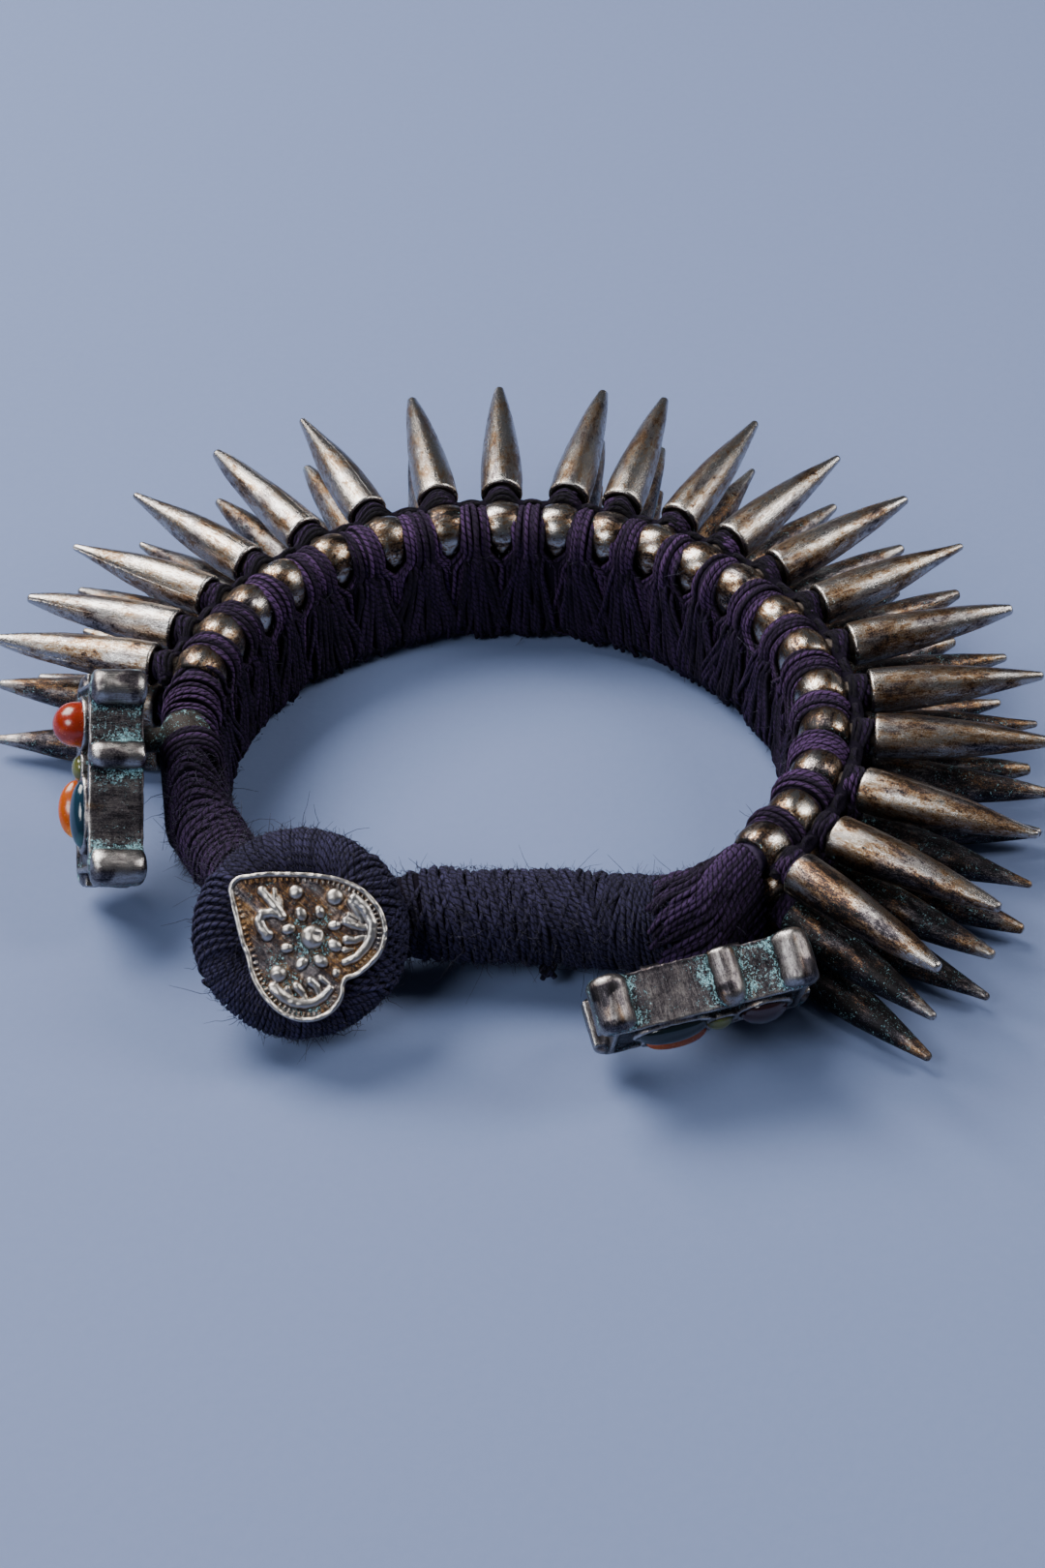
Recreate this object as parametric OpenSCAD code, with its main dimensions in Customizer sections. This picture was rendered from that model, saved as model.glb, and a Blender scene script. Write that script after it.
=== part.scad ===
/* [Ring of spikes] */
// Radius of the ring on which the cords lie
cord_ring_r = 33; // [32:0.1:34]
// Distance between the three rows
row_pitch = 5.5; // [5.45:0.05:7]
// Height of the bottom cord above the floor
bottom_row_z = 2.95; // [2.95:0.05:4]
// Angle of the first column of spikes, at the front right
first_column_deg = -40; // [-42:1:-38]
// Steps between the columns, tied by hand and so not quite even
column_steps = [10, 12, 12, 11, 12, 11, 12, 10, 10, 10, 10, 11, 11, 12, 12, 12, 10, 10, 10]; // hand-set, 10 to 13 each
// Sideways swing of each spike about its neck
swings = [-7, -4, -6, 1, -1, -3, -2, -6, -4, -1, 3, -3, 0, -1, 2, 1, 0, 1, 0, -5]; // hand-set, -10 to 8 each

// Lift of each spike above the even lean of its row
lifts = [4, 1, 1, 0, 0, 0, 0, 0, 0, 0, 0, 0, 0, -1, 0, 0, 0, -1, -1, 0]; // hand-set, -2 to 4 each

/* [Spike] */
// Length of a spike from its base to its tip
spike_length = 18.4; // [14:0.1:22]
// Radius of a spike at its base
spike_r = 2.35; // [2:0.05:2.5]
// Distance from the cord to the base of a spike
base_offset = 4.9; // [4:0.1:6]
// Radius of the blunt, worn tip
tip_r = 0.55; // [0.3:0.05:0.7]
// Upward lean of the top row, where it is greatest
lean_deg = 8; // [0:0.5:8]

/* [Shank ring] */
// Outer radius of the domed shank ring
shank_r = 2.7; // [2.4:0.05:2.7]
// Radius of its hole
shank_hole_r = 1.9; // [1.85:0.05:2]
// Width of its strap along the cord
strap_w = 3.7; // [3:0.1:4]

/* [Cords and thread] */
// Radius of each core cord
cord_r = 1.7; // [1.4:0.05:1.75]
// Radial thickness of the thread bound around the cords
binding_w = 6.1; // [5.8:0.1:6.2]
// Thickness of the curtain of thread on the inside
curtain_t = 0.9; // [0.6:0.1:1]
// Radius of the wound bar that closes the front
bar_r = 4.7; // [3.5:0.1:4.8]
// Height of the wound bar's centre line
bar_z = 6.5; // [6:0.1:7]

/* [Button loop] */
// Radius of the button loop on its centre line
loop_r = 7.45; // [7.2:0.05:7.8]
// Radius of the wound tube of the loop
loop_tube_r = 2.9; // [2.4:0.05:3]
// Tilt of the loop and button, from lying flat
loop_tilt_deg = 45; // [40:1:50]

/* [Heart button] */
// Thickness of the plate
heart_t = 1.3; // [1:0.1:1.6]
// Height of the raised rim above the plate
heart_rim_h = 0.5; // [0.3:0.1:0.8]

/* [Terminals] */
// Distance between the end knobs of a terminal
terminal_span = 18; // [17:0.1:20]
// Depth of a terminal across its face
terminal_d = 8.6; // [8:0.1:11]
// Thickness of a terminal from back to face
terminal_t = 5.2; // [4.5:0.1:5.6]

/* [Hidden] */

silver = [0.62, 0.59, 0.56];
thread = [0.16, 0.12, 0.24];
cotton = [0.20, 0.16, 0.28];

// The origin is under the middle of the bounding box; the ring's own centre lies in front of it.
ring_centre = [-0.39, -6.42, 0];

column_count = len(column_steps) + 1;
function sum_to(v, n) = n <= 0 ? 0 : v[n - 1] + sum_to(v, n - 1);
function column_deg(i) = first_column_deg + sum_to(column_steps, i);
function row_z(row) = bottom_row_z + row * row_pitch;
last_column_deg = column_deg(column_count - 1);

// Ends of the bound stretch: the right end is at the first column, the left end past the strap of
// the left terminal.
strap_deg = 187;
cord_from_deg = first_column_deg - 4.6;
cord_to_deg = 192;

// Rows lean up at the back and a little down at the left, and fan apart.
row_fan = [5, 3, 0];
function spike_lean(i, row) = max(-2.4, -1 + (lean_deg + 1) * cos(column_deg(i) - 65) + lifts[i] - row_fan[row]);

module at_column(deg, z) {
    rotate([0, 0, deg]) translate([cord_ring_r, 0, z]) children();
}

// A domed strap bent into a ring around the cord, its axis along Y.
strap_bulge = 0.35;
strap_dome_r = (pow(strap_w / 2, 2) + pow(strap_bulge, 2)) / (2 * strap_bulge);
module shank_ring() {
    rotate([90, 0, 0]) rotate_extrude($fn = 48)
        intersection() {
            translate([shank_hole_r, -strap_w / 2]) square([2, strap_w]);
            translate([shank_r - strap_dome_r, 0]) circle(r = strap_dome_r, $fn = 180);
        }
}

// Half section of the spike: flat base, bevelled rim, a short straight run, then an ogive.
bevel = 0.35;
straight_run = 3.2;
ogive_steps = 12;
function ogive_r(u) = tip_r + (spike_r - tip_r) * (1 - 0.32 * u - 0.68 * u * u);
spike_section = concat(
    [[0, 0], [spike_r - bevel, 0], [spike_r, bevel]],
    [for (k = [0 : ogive_steps])
        let (u = k / ogive_steps) [ogive_r(u), straight_run + u * (spike_length - straight_run - tip_r)]],
    [[tip_r * 0.6, spike_length - tip_r * 0.25], [0, spike_length]]);

module spike(lean, swing) {
    shank_ring();
    rotate([0, 0, swing]) rotate([0, -lean, 0]) {
        translate([base_offset, 0, 0]) rotate([0, 90, 0])
            rotate_extrude($fn = 40) polygon(spike_section);
        translate([shank_r - 0.3, 0, 0]) rotate([0, 90, 0])
            cylinder(r = 1.25, h = base_offset - shank_r + 0.5, $fn = 24);
    }
}

// The spikes of the last column splay sideways, the bottom one most.
last_splay = [9, 2, 0];
function swing_of(i, row) = swings[i] + (i == column_count - 1 ? last_splay[row] : 0);

module spike_row(row) {
    color(silver) translate(ring_centre)
        for (i = [0 : column_count - 1])
            at_column(column_deg(i), row_z(row)) spike(spike_lean(i, row), swing_of(i, row));
}
module spike_row_bottom() spike_row(0);
module spike_row_middle() spike_row(1);
module spike_row_top() spike_row(2);

module core_cord(row) {
    color(cotton) translate(ring_centre) translate([0, 0, row_z(row)]) rotate([0, 0, cord_from_deg])
        rotate_extrude(angle = cord_to_deg - cord_from_deg, $fn = 180)
            translate([cord_ring_r, 0]) circle(r = cord_r, $fn = 32);
}
module core_cord_bottom() core_cord(0);
module core_cord_middle() core_cord(1);
module core_cord_top() core_cord(2);

// Thread bound between two columns, around all three cords, and the curtain on the inside.
binding_top_z = row_z(2) + shank_r - 0.3;
binding_mid_r = cord_ring_r - 0.35;
binding_half = binding_w / 2;
cord_clear = 0.15;
strap_clear_deg = 3.85;
module binding_section() {
    difference() {
        union() {
            translate([binding_mid_r - binding_half, binding_half])
                square([binding_w, binding_top_z - binding_w]);
            for (z = [binding_half, binding_top_z - binding_half])
                translate([binding_mid_r, z]) circle(r = binding_half, $fn = 60);
        }
        for (row = [0 : 2]) translate([cord_ring_r, row_z(row)]) circle(r = cord_r + cord_clear, $fn = 40);
    }
}
module binding_rib(from_deg, to_deg) {
    rotate([0, 0, from_deg]) rotate_extrude(angle = to_deg - from_deg, $fn = 180) binding_section();
}
curtain_out_r = cord_ring_r - shank_r - 0.15;
curtain_low_z = 1.6;
curtain_high_z = 11.4;
module curtain_section() {
    half = curtain_t / 2;
    translate([curtain_out_r - curtain_t, curtain_low_z + half])
        square([curtain_t, curtain_high_z - curtain_low_z - curtain_t]);
    for (z = [curtain_low_z + half, curtain_high_z - half])
        translate([curtain_out_r - half, z]) circle(r = half, $fn = 32);
}
module binding() {
    color(thread) translate(ring_centre) {
        for (i = [0 : column_count - 2])
            binding_rib(column_deg(i) + strap_clear_deg, column_deg(i + 1) - strap_clear_deg);
        binding_rib(last_column_deg + strap_clear_deg, strap_deg - strap_clear_deg);
        binding_rib(strap_deg + strap_clear_deg, cord_to_deg + 0.6);
        rotate([0, 0, cord_from_deg])
            rotate_extrude(angle = cord_to_deg - cord_from_deg, $fn = 180) curtain_section();
    }
}

// A tube swept along stations [x, y, z, half width, half height], with flat ends. Each ring of
// points stands upright, square to the path.
function lerp(a, b, t) = a + (b - a) * t;
function spline(p0, p1, p2, p3, t) = 0.5 * (2 * p1 + (p2 - p0) * t + (2 * p0 - 5 * p1 + 4 * p2 - p3) * t * t
    + (3 * p1 - p0 - 3 * p2 + p3) * t * t * t);
function smooth(stations, per) = let (n = len(stations) - 1)
    [for (i = [0 : n * per]) let (k = min(n - 1, floor(i / per)), t = i / per - k)
        spline(stations[max(0, k - 1)], stations[k], stations[k + 1], stations[min(n, k + 2)], t)];
function heading(path, i) = let (n = len(path) - 1, a = path[max(0, i - 1)], b = path[min(n, i + 1)],
    d = [b[0] - a[0], b[1] - a[1], b[2] - a[2]]) d / norm(d);
function side_of(h) = let (s = cross(h, [0, 0, 1])) s / norm(s);
function tube_ring(path, i, sides) = let (h = heading(path, i), s = side_of(h), u = cross(s, h), p = path[i])
    [for (k = [0 : sides - 1]) let (a = 360 * k / sides)
        [p[0], p[1], p[2]] + s * p[3] * cos(a) + u * p[4] * sin(a)];
module tube_along(stations, per, sides) {
    path = smooth(stations, per);
    rings = len(path);
    points = [for (i = [0 : rings - 1]) each tube_ring(path, i, sides)];
    walls = [for (i = [0 : rings - 2]) for (k = [0 : sides - 1]) let (m = (k + 1) % sides)
        each [[i * sides + k, i * sides + m, (i + 1) * sides + m],
              [i * sides + k, (i + 1) * sides + m, (i + 1) * sides + k]]];
    start_cap = [for (k = [1 : sides - 2]) [0, k + 1, k]];
    last = (rings - 1) * sides;
    end_cap = [for (k = [1 : sides - 2]) [last, last + k, last + k + 1]];
    polyhedron(points, concat(walls, start_cap, end_cap), convexity = 6);
}

// Stations of the bar, from the first column across the front to its end under the button.
band_z = row_z(1);
bar_y = -22.8;
arm_gap_deg = 0.8;
bar_from_deg = cord_from_deg - arm_gap_deg;
function on_ring(deg) = [cord_ring_r * cos(deg), cord_ring_r * sin(deg)];
bar_stations = [
    concat(on_ring(bar_from_deg), [band_z, binding_half, 7.7]),
    concat(on_ring(bar_from_deg - 3.5), [band_z, 3.2, 7.5]),
    [18.8, -26.2, band_z - 0.4, 3.8, 6.7],
    [15.8, -25.4, bar_z + 0.8, 4.4, 5.7],
    [12.4, -24.2, bar_z + 0.3, bar_r, bar_r + 0.2],
    [8.5, bar_y - 0.4, bar_z, bar_r, bar_r],
    [0, bar_y, bar_z, bar_r, bar_r],
    [-7.6, bar_y + 0.2, bar_z, bar_r, bar_r],
    [-10.2, -22.5, 5.9, 4.3, 4.3],
    [-13, -22.3, 4.9, 3, 3],
    [-17, -22.8, 4, 2.6, 2.6],
    [-21.6, -23.2, 3.5, 2.3, 2.3]];
module wound_bar() {
    color(thread) translate(ring_centre) tube_along(bar_stations, 4, 24);
}

// The button loop stands in a tilted plane in front of the bar's end.
loop_centre = [-19.95, -29, 10];
module in_loop_plane() {
    translate(ring_centre) translate(loop_centre) rotate([loop_tilt_deg, 0, 0]) children();
}
arm_from_deg = cord_to_deg + 0.6 + arm_gap_deg;
arm_stations = [
    concat(on_ring(arm_from_deg), [band_z, binding_half, 7.7]),
    concat(on_ring(arm_from_deg + 3), [band_z, 3.2, 6.8]),
    [-30.7, -11.6, band_z + 0.1, 3.5, 4.8],
    [-29.2, -15.2, band_z + 0.4, 3.6, 3.9],
    [-27.5, -18.9, band_z + 1.3, 3.5, 3.6],
    [-26.1, -22.4, band_z + 3, 3, 3],
    [-25.4, -24.6, band_z + 4.3, 2.4, 2.4]];
module wound_loop() {
    color(thread) {
        in_loop_plane() rotate_extrude($fn = 96) translate([loop_r, 0]) circle(r = loop_tube_r, $fn = 32);
        translate(ring_centre) tube_along(arm_stations, 4, 24);
    }
}

// Heart outline, point along +X, as it was cut by hand: the lobe at -Y is the larger one.
heart_points = [[9.1, 0.65], [9.35, 0], [9.2, -0.95], [8.45, -1.85], [7.4, -3], [5.9, -4.3], [4.5, -5.45],
    [3.15, -6.4], [2.1, -7], [0.9, -7.5], [-0.35, -7.85], [-1.65, -7.9], [-2.95, -7.7], [-4.05, -7.2],
    [-4.8, -6.7], [-5.4, -5.95], [-5.9, -5], [-6.15, -3.9], [-6.1, -2.6], [-5.8, -1.2], [-5.3, -0.1],
    [-5.95, 0.95], [-6.3, 2], [-6.25, 3.1], [-5.85, 4.2], [-5.05, 5.1], [-3.9, 5.75], [-2.4, 6.05],
    [-0.7, 5.95], [0.9, 5.6], [2.2, 5.1], [3.45, 4.45], [4.6, 3.85], [5.45, 3.3], [6.6, 2.5], [7.65, 1.75],
    [8.6, 1.05]];
heart_middle = [0.8, -0.9];
function heart_outline(share) = [for (p = heart_points) heart_middle + (p - heart_middle) * share];

heart_point_deg = 139;
heart_lift = loop_tube_r + 0.15;
heart_offset = [0.65, -1.4];
rim_share = 0.91;
boss_at = [-0.05, -1.2];
boss_pellets = [[2.25, -2.15], [1, -3.45], [-0.9, -3.4], [-2.2, -2], [-2.15, 0], [-0.95, 1.4], [1.1, 1.2], [2.2, -0.25]];
module pellet(x, y, r) translate([x, y, heart_t + r * 0.1]) sphere(r = r, $fn = 24);
module wire(from, to, r) {
    // A raised wire lying half in the plate, its ends round.
    d = to - from;
    translate([from[0], from[1], heart_t]) rotate([0, 90, atan2(d[1], d[0])]) {
        cylinder(r = r, h = norm(d), $fn = 14);
        sphere(r = r, $fn = 14);
    }
    translate([to[0], to[1], heart_t]) sphere(r = r * 1.15, $fn = 14);
}
module leaf(x, y, deg, r) {
    // A crescent leaf following its lobe, with blades hatched across it.
    translate([x, y, heart_t - 0.1]) rotate([0, 0, deg]) {
        linear_extrude(0.42) difference() {
            circle(r = r + 0.2, $fn = 48);
            translate([-0.75, 0]) circle(r = r, $fn = 48);
        }
        for (a = [-52 : 26 : 52]) rotate([0, 0, a]) translate([r - 1.3, -0.2, 0]) cube([1.2, 0.4, 0.6]);
    }
}
module twig() {
    // A stem with two tines toward the point, and a curled side branch that ends in a bud.
    wire([3.6, -0.85], [6.5, -1.35], 0.36);
    wire([4.4, -1.15], [5.7, -2.2], 0.25);
    wire([3.7, -0.85], [5, 0.2], 0.32);
    wire([5, 0.2], [4.7, 1.1], 0.32);
    wire([4.7, 1.1], [3.5, 1.5], 0.36);
    pellet(3.4, 1.5, 0.62);
    pellet(6.4, -1.35, 0.5);
}
shank_post_r = 0.9;
shank_post_l = 9.1;
module heart_button() {
    color(silver) in_loop_plane() translate([heart_offset[0], heart_offset[1], heart_lift])
        rotate([0, 0, heart_point_deg]) {
            linear_extrude(heart_t) polygon(heart_outline(1));
            linear_extrude(heart_t + heart_rim_h) difference() {
                polygon(heart_outline(1));
                polygon(heart_outline(rim_share));
            }
            pellet(boss_at[0], boss_at[1], 1.1);
            for (p = boss_pellets) pellet(p[0], p[1], 0.58);
            pellet(4, -3.4, 0.72);
            pellet(0.9, -5.5, 0.82);
            pellet(0.1, 3.6, 0.82);
            pellet(-4, -0.1, 0.4);
            twig();
            leaf(-1.6, -3.9, 230, 2.85);
            leaf(-1.7, 1.9, 138, 2.9);
            translate([0, 0, -shank_post_l]) cylinder(r = shank_post_r, h = shank_post_l + 0.3, $fn = 24);
            translate([0, 0, -shank_post_l]) cylinder(r = 1.6, h = 0.7, $fn = 32);
        }
}

// Terminal, in its own frame: X along its length, face at +Z, the wall seen in front at -Y.
// way = 1 puts the long segment toward -X, way = -1 toward +X.
wall_x = terminal_span / 2 + 0.5;
ridge_share = 116 / 186;
end_knob = [3.8, 1.5, 5.5];
knob_round = 0.8;
ridge_w = 2.8;
setting_wall = 0.45;
setting_h = 0.8;
stone_gap = 0.12;
teal_size = [3.4, 1.8];
amber_size = [3, 1.4];
green_size = [1.3, 1.3];
cab_r = 2.3;
function ridge_x(way) = way * (ridge_share - 0.5) * terminal_span;
function teal_at(way) = [-3.7 * way, -1.75];
function amber_at(way) = [-3 * way, 2.25];
function green_at(way) = [1.1 * way, -0.2];
function cab_at(way) = [5.5 * way, -0.4];
function oval(a, b) = [for (k = [0 : 39]) [a * cos(9 * k), b * sin(9 * k)]];
module end_block(x, y_way) {
    // A rounded block: a bun with soft ends over the wall's full thickness, and a web behind it.
    r = end_knob[0] / 2;
    h = end_knob[2];
    q = knob_round;
    low = (terminal_t - h) / 2;
    translate([x, y_way * (terminal_d / 2 + end_knob[1] - r), low])
        rotate_extrude($fn = 40) {
            square([r - q, h]);
            translate([0, q]) square([r, h - 2 * q]);
            for (z = [q, h - q]) translate([r - q, z]) circle(r = q, $fn = 32);
        }
    translate([x - r, y_way > 0 ? terminal_d / 2 - 2 : -terminal_d / 2 - end_knob[1] + r, low + 0.45])
        cube([2 * r, 2 + end_knob[1] - r, h - 0.9]);
}
module ridge(x, y_way) {
    translate([x, y_way * (terminal_d / 2 - 0.1), 0]) {
        cylinder(r = ridge_w / 2, h = terminal_t - 0.9, $fn = 32);
        translate([0, 0, terminal_t - 0.9]) sphere(r = ridge_w / 2, $fn = 32);
    }
}
module setting(at, a, b) {
    translate([at[0], at[1], terminal_t - 0.2]) linear_extrude(setting_h + 0.2) difference() {
        polygon(oval(a + stone_gap + setting_wall, b + stone_gap + setting_wall));
        polygon(oval(a + stone_gap, b + stone_gap));
    }
}
module terminal_box(way) {
    translate([0, 0, -terminal_t / 2]) {
        translate([-wall_x, -terminal_d / 2, 0]) cube([2 * wall_x, terminal_d, terminal_t]);
        // raised edge of the face
        difference() {
            translate([-wall_x, -terminal_d / 2, terminal_t - 0.1]) cube([2 * wall_x, terminal_d, 0.5]);
            translate([-wall_x + 0.5, -terminal_d / 2 + 0.5, terminal_t - 0.5])
                cube([2 * wall_x - 1, terminal_d - 1, 2]);
        }
        for (y_way = [-1, 1]) {
            for (s = [-1, 1]) end_block(s * terminal_span / 2, y_way);
            ridge(ridge_x(way), y_way);
        }
        setting(teal_at(way), teal_size[0], teal_size[1]);
        setting(amber_at(way), amber_size[0], amber_size[1]);
        setting(green_at(way), green_size[0], green_size[1]);
        setting(cab_at(way), cab_r, cab_r);
    }
}
module cabochon(at, a, b, rise) {
    // An oval stone with straight sides and a round top.
    dome_r = (pow(a, 2) + pow(rise, 2)) / (2 * rise);
    base_z = terminal_t / 2 + 0.12;
    translate([at[0], at[1], base_z]) intersection() {
        linear_extrude(rise + 0.6) polygon(oval(a, b));
        translate([0, 0, rise + 0.55 - dome_r]) sphere(r = dome_r, $fn = 96);
    }
}
module high_cabochon(at, r, rise) {
    // A round, nearly ball-topped stone.
    translate([at[0], at[1], terminal_t / 2 + 0.12]) {
        cylinder(r = r, h = rise - r, $fn = 40);
        translate([0, 0, rise - r]) rotate_extrude($fn = 40) intersection() {
            circle(r = r, $fn = 40);
            square([r, r]);
        }
    }
}

left_way = 1;
right_way = -1;
left_turn = [-74, -46.5, 90];
right_turn = [-122, 6, -166];
left_at = [-40, -9.1, 12.7];
right_at = [18.6, -36.1, 9];
module at_left() translate(ring_centre) translate(left_at) rotate(left_turn) children();
module at_right() translate(ring_centre) translate(right_at) rotate(right_turn) children();

module left_terminal() {
    color(silver) {
        at_left() terminal_box(left_way);
        // its strap rides on the top cord
        translate(ring_centre) at_column(strap_deg, row_z(2)) {
            shank_ring();
            translate([shank_r - 0.3, 0, 0]) rotate([0, 90, 0]) cylinder(r = 1.25, h = 3.6, $fn = 24);
        }
    }
}
module right_terminal() {
    color(silver) at_right() {
        terminal_box(right_way);
        // low straps at the back, sewn to the bound arm
        for (x = [-4, 4]) translate([x, 0, -terminal_t / 2 - 0.25]) rotate([0, 90, 0])
            cylinder(r = 0.9, h = 2, center = true, $fn = 24);
    }
}
module left_teal_glass() color([0.05, 0.32, 0.42]) at_left() cabochon(teal_at(left_way), teal_size[0], teal_size[1], 1.3);
module left_amber_glass() color([0.9, 0.5, 0.05]) at_left() cabochon(amber_at(left_way), amber_size[0], amber_size[1], 1.9);
module left_green_glass() color([0.55, 0.6, 0.25]) at_left() cabochon(green_at(left_way), green_size[0], green_size[1], 0.9);
module left_orange_cabochon() color([0.85, 0.3, 0.08]) at_left() high_cabochon(cab_at(left_way), cab_r, 3.4);
module right_teal_glass() color([0.05, 0.32, 0.42]) at_right() cabochon(teal_at(right_way), teal_size[0], teal_size[1], 1.3);
module right_amber_glass() color([0.9, 0.5, 0.05]) at_right() cabochon(amber_at(right_way), amber_size[0], amber_size[1], 1.1);
module right_green_glass() color([0.55, 0.6, 0.25]) at_right() cabochon(green_at(right_way), green_size[0], green_size[1], 0.9);
module right_garnet_cabochon() color([0.3, 0.08, 0.15]) at_right() cabochon(cab_at(right_way), cab_r, cab_r, 1.35);

spike_row_top();
spike_row_middle();
spike_row_bottom();
core_cord_top();
core_cord_middle();
core_cord_bottom();
binding();
wound_bar();
wound_loop();
heart_button();
left_terminal();
right_terminal();
left_teal_glass();
left_amber_glass();
left_green_glass();
left_orange_cabochon();
right_teal_glass();
right_amber_glass();
right_green_glass();
right_garnet_cabochon();
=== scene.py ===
"""Silver spiked bangle: the looks of every piece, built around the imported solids.

Lengths are in millimetres until a mesh is made, and angles are in degrees. Every surface is a
numpy grid: a lathe profile, a section carried along a path, or a relief over an outline.
"""
import sys

import logging
import math
from dataclasses import dataclass, field
from enum import Enum

import bpy
import numpy as np
from bpy.types import Material, Node, NodeSocket, NodeTree, Object
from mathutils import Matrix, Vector


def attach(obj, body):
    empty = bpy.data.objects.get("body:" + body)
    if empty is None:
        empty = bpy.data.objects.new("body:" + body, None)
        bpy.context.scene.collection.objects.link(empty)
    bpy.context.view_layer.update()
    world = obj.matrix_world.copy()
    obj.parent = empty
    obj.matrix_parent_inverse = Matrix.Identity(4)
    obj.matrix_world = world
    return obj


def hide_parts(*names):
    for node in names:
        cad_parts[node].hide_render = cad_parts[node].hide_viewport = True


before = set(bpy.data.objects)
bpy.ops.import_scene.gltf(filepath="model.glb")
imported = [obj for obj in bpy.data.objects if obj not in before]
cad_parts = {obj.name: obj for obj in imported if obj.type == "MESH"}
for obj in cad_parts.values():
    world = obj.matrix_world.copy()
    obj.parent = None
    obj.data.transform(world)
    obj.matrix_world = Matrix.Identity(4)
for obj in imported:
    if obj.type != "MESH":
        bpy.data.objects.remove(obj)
log = logging.getLogger("bangle")

MM = 0.001
BODY = "root"
X, Y, Z = range(3)
Array = np.ndarray


# Numbers and arrays.

def unit(v: Array) -> Array:
    """Each vector of an array divided by its own length."""
    return v / np.maximum(np.linalg.norm(v, axis=-1, keepdims=True), 1e-12)


def turn(axis: int, deg: float) -> Array:
    """Rotation matrix about one axis: cos and sin in the plane of the two that follow it.

    Args:
        axis: X, Y or Z.
        deg: the angle.

    Returns:
        The matrix, (3, 3).
    """
    c, s = math.cos(math.radians(deg)), math.sin(math.radians(deg))
    i, j = (axis + 1) % 3, (axis + 2) % 3
    matrix = np.eye(3)
    matrix[i, i], matrix[i, j], matrix[j, i], matrix[j, j] = c, -s, s, c
    return matrix


def xyz(*parts: Array | float) -> Array:
    """Numbers put side by side in a last axis, each spread to the shape of them all."""
    return np.stack(np.broadcast_arrays(*parts), -1)


def circle_angles(count: int) -> Array:
    """Evenly spaced angles of a whole circle."""
    return np.arange(count) * 2 * np.pi / count


def curve_part(a: Array, b: Array, c: Array, d: Array, t: Array) -> Array:
    """Cubic line from b, where t is 0, to c, where t is 1, bent by its neighbours a and d.

    Its direction is half of c - a at b, and half of d - b at c.

    Args:
        a: point before.
        b: first point.
        c: second point.
        d: point after.
        t: share of the way from b to c.

    Returns:
        The points of the line.
    """
    return 0.5 * (2 * b + (c - a) * t + (2 * a - 5 * b + 4 * c - d) * t ** 2
                  + (3 * b - a - 3 * c + d) * t ** 3)


def arc_length(path: Array) -> Array:
    """Length of a line of points up to each of them."""
    return np.concatenate([[0], np.cumsum(np.linalg.norm(np.diff(path, axis=0), axis=1))])


def smoothstep(low: float, high: float, x: Array) -> Array:
    """0 below low, 1 above high, and 3t^2 - 2t^3 between them."""
    t = np.clip((x - low) / (high - low), 0, 1)
    return t * t * (3 - 2 * t)


def lattice_noise(p: Array, seed: int = 0) -> Array:
    """Smooth noise from -1 to 1: hashed values at whole-number points, blended by smoothstep.

    Args:
        p: points, (..., 3).
        seed: another number gives another field.

    Returns:
        One value for each point.
    """
    cell = np.floor(p).astype(np.int64)
    f = p - cell
    f = f * f * (3 - 2 * f)
    total = np.zeros(p.shape[:-1])
    for corner in range(8):
        d = np.array([corner & 1, (corner >> 1) & 1, (corner >> 2) & 1])
        c = cell + d
        h = (c[..., 0] * 374761393 + c[..., 1] * 668265263 + c[..., 2] * 2147483647
             + seed * 1274126177) & 0xFFFFFFFF
        h = ((h ^ (h >> 13)) * 1274126177) & 0xFFFFFFFF
        h = (h ^ (h >> 16)) & 0xFFFFFFFF
        weight = np.prod(np.where(d, f, 1 - f), axis=-1)
        total += weight * (h / 2147483647.5 - 1)
    return total


def wander(x: Array, seed: int, row: float = 0.0) -> Array:
    """Smooth noise along one line of numbers."""
    return lattice_noise(xyz(x, row + 0.37, 7.13), seed)


# Meshes.

def lathe(along: Array, radii: Array, sides: int) -> Array:
    """A surface turned about X: a ring at each distance, then a point on the axis at each end.

    Args:
        along: distance of each ring.
        radii: its radius.
        sides: points in a ring.

    Returns:
        The points, in the order that tube_faces joins.
    """
    xx, aa = np.meshgrid(along, circle_angles(sides), indexing="ij")
    r = np.repeat(np.reshape(radii, (-1, 1)), sides, 1)
    rings = xyz(xx, r * np.cos(aa), r * np.sin(aa)).reshape(-1, 3)
    return np.concatenate([rings, [[along[0], 0, 0], [along[-1], 0, 0]]])


def tube_faces(copies: int, rings: int, sides: int) -> tuple[Array, Array]:
    """Faces of tubes whose rings are joined by quads and whose ends close in fans.

    Args:
        copies: how many tubes follow each other in the point list.
        rings: rings in each, from its start to its end.
        sides: points in a ring, then one point for each end.

    Returns:
        Quads and triangles, facing outwards.
    """
    per = rings * sides + 2
    k, j = np.meshgrid(np.arange(rings - 1), np.arange(sides), indexing="ij")
    m = (j + 1) % sides
    quads = xyz(k * sides + j, k * sides + m, (k + 1) * sides + m, (k + 1) * sides + j)
    j = np.arange(sides)
    m = (j + 1) % sides
    last = (rings - 1) * sides
    start = xyz(np.full(sides, per - 2), m, j)
    end = xyz(np.full(sides, per - 1), last + j, last + m)
    tris = np.concatenate([start, end])
    shift = (np.arange(copies) * per)[:, None, None]
    return (quads.reshape(1, -1, 4) + shift).reshape(-1, 4), (tris[None] + shift).reshape(-1, 3)


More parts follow.
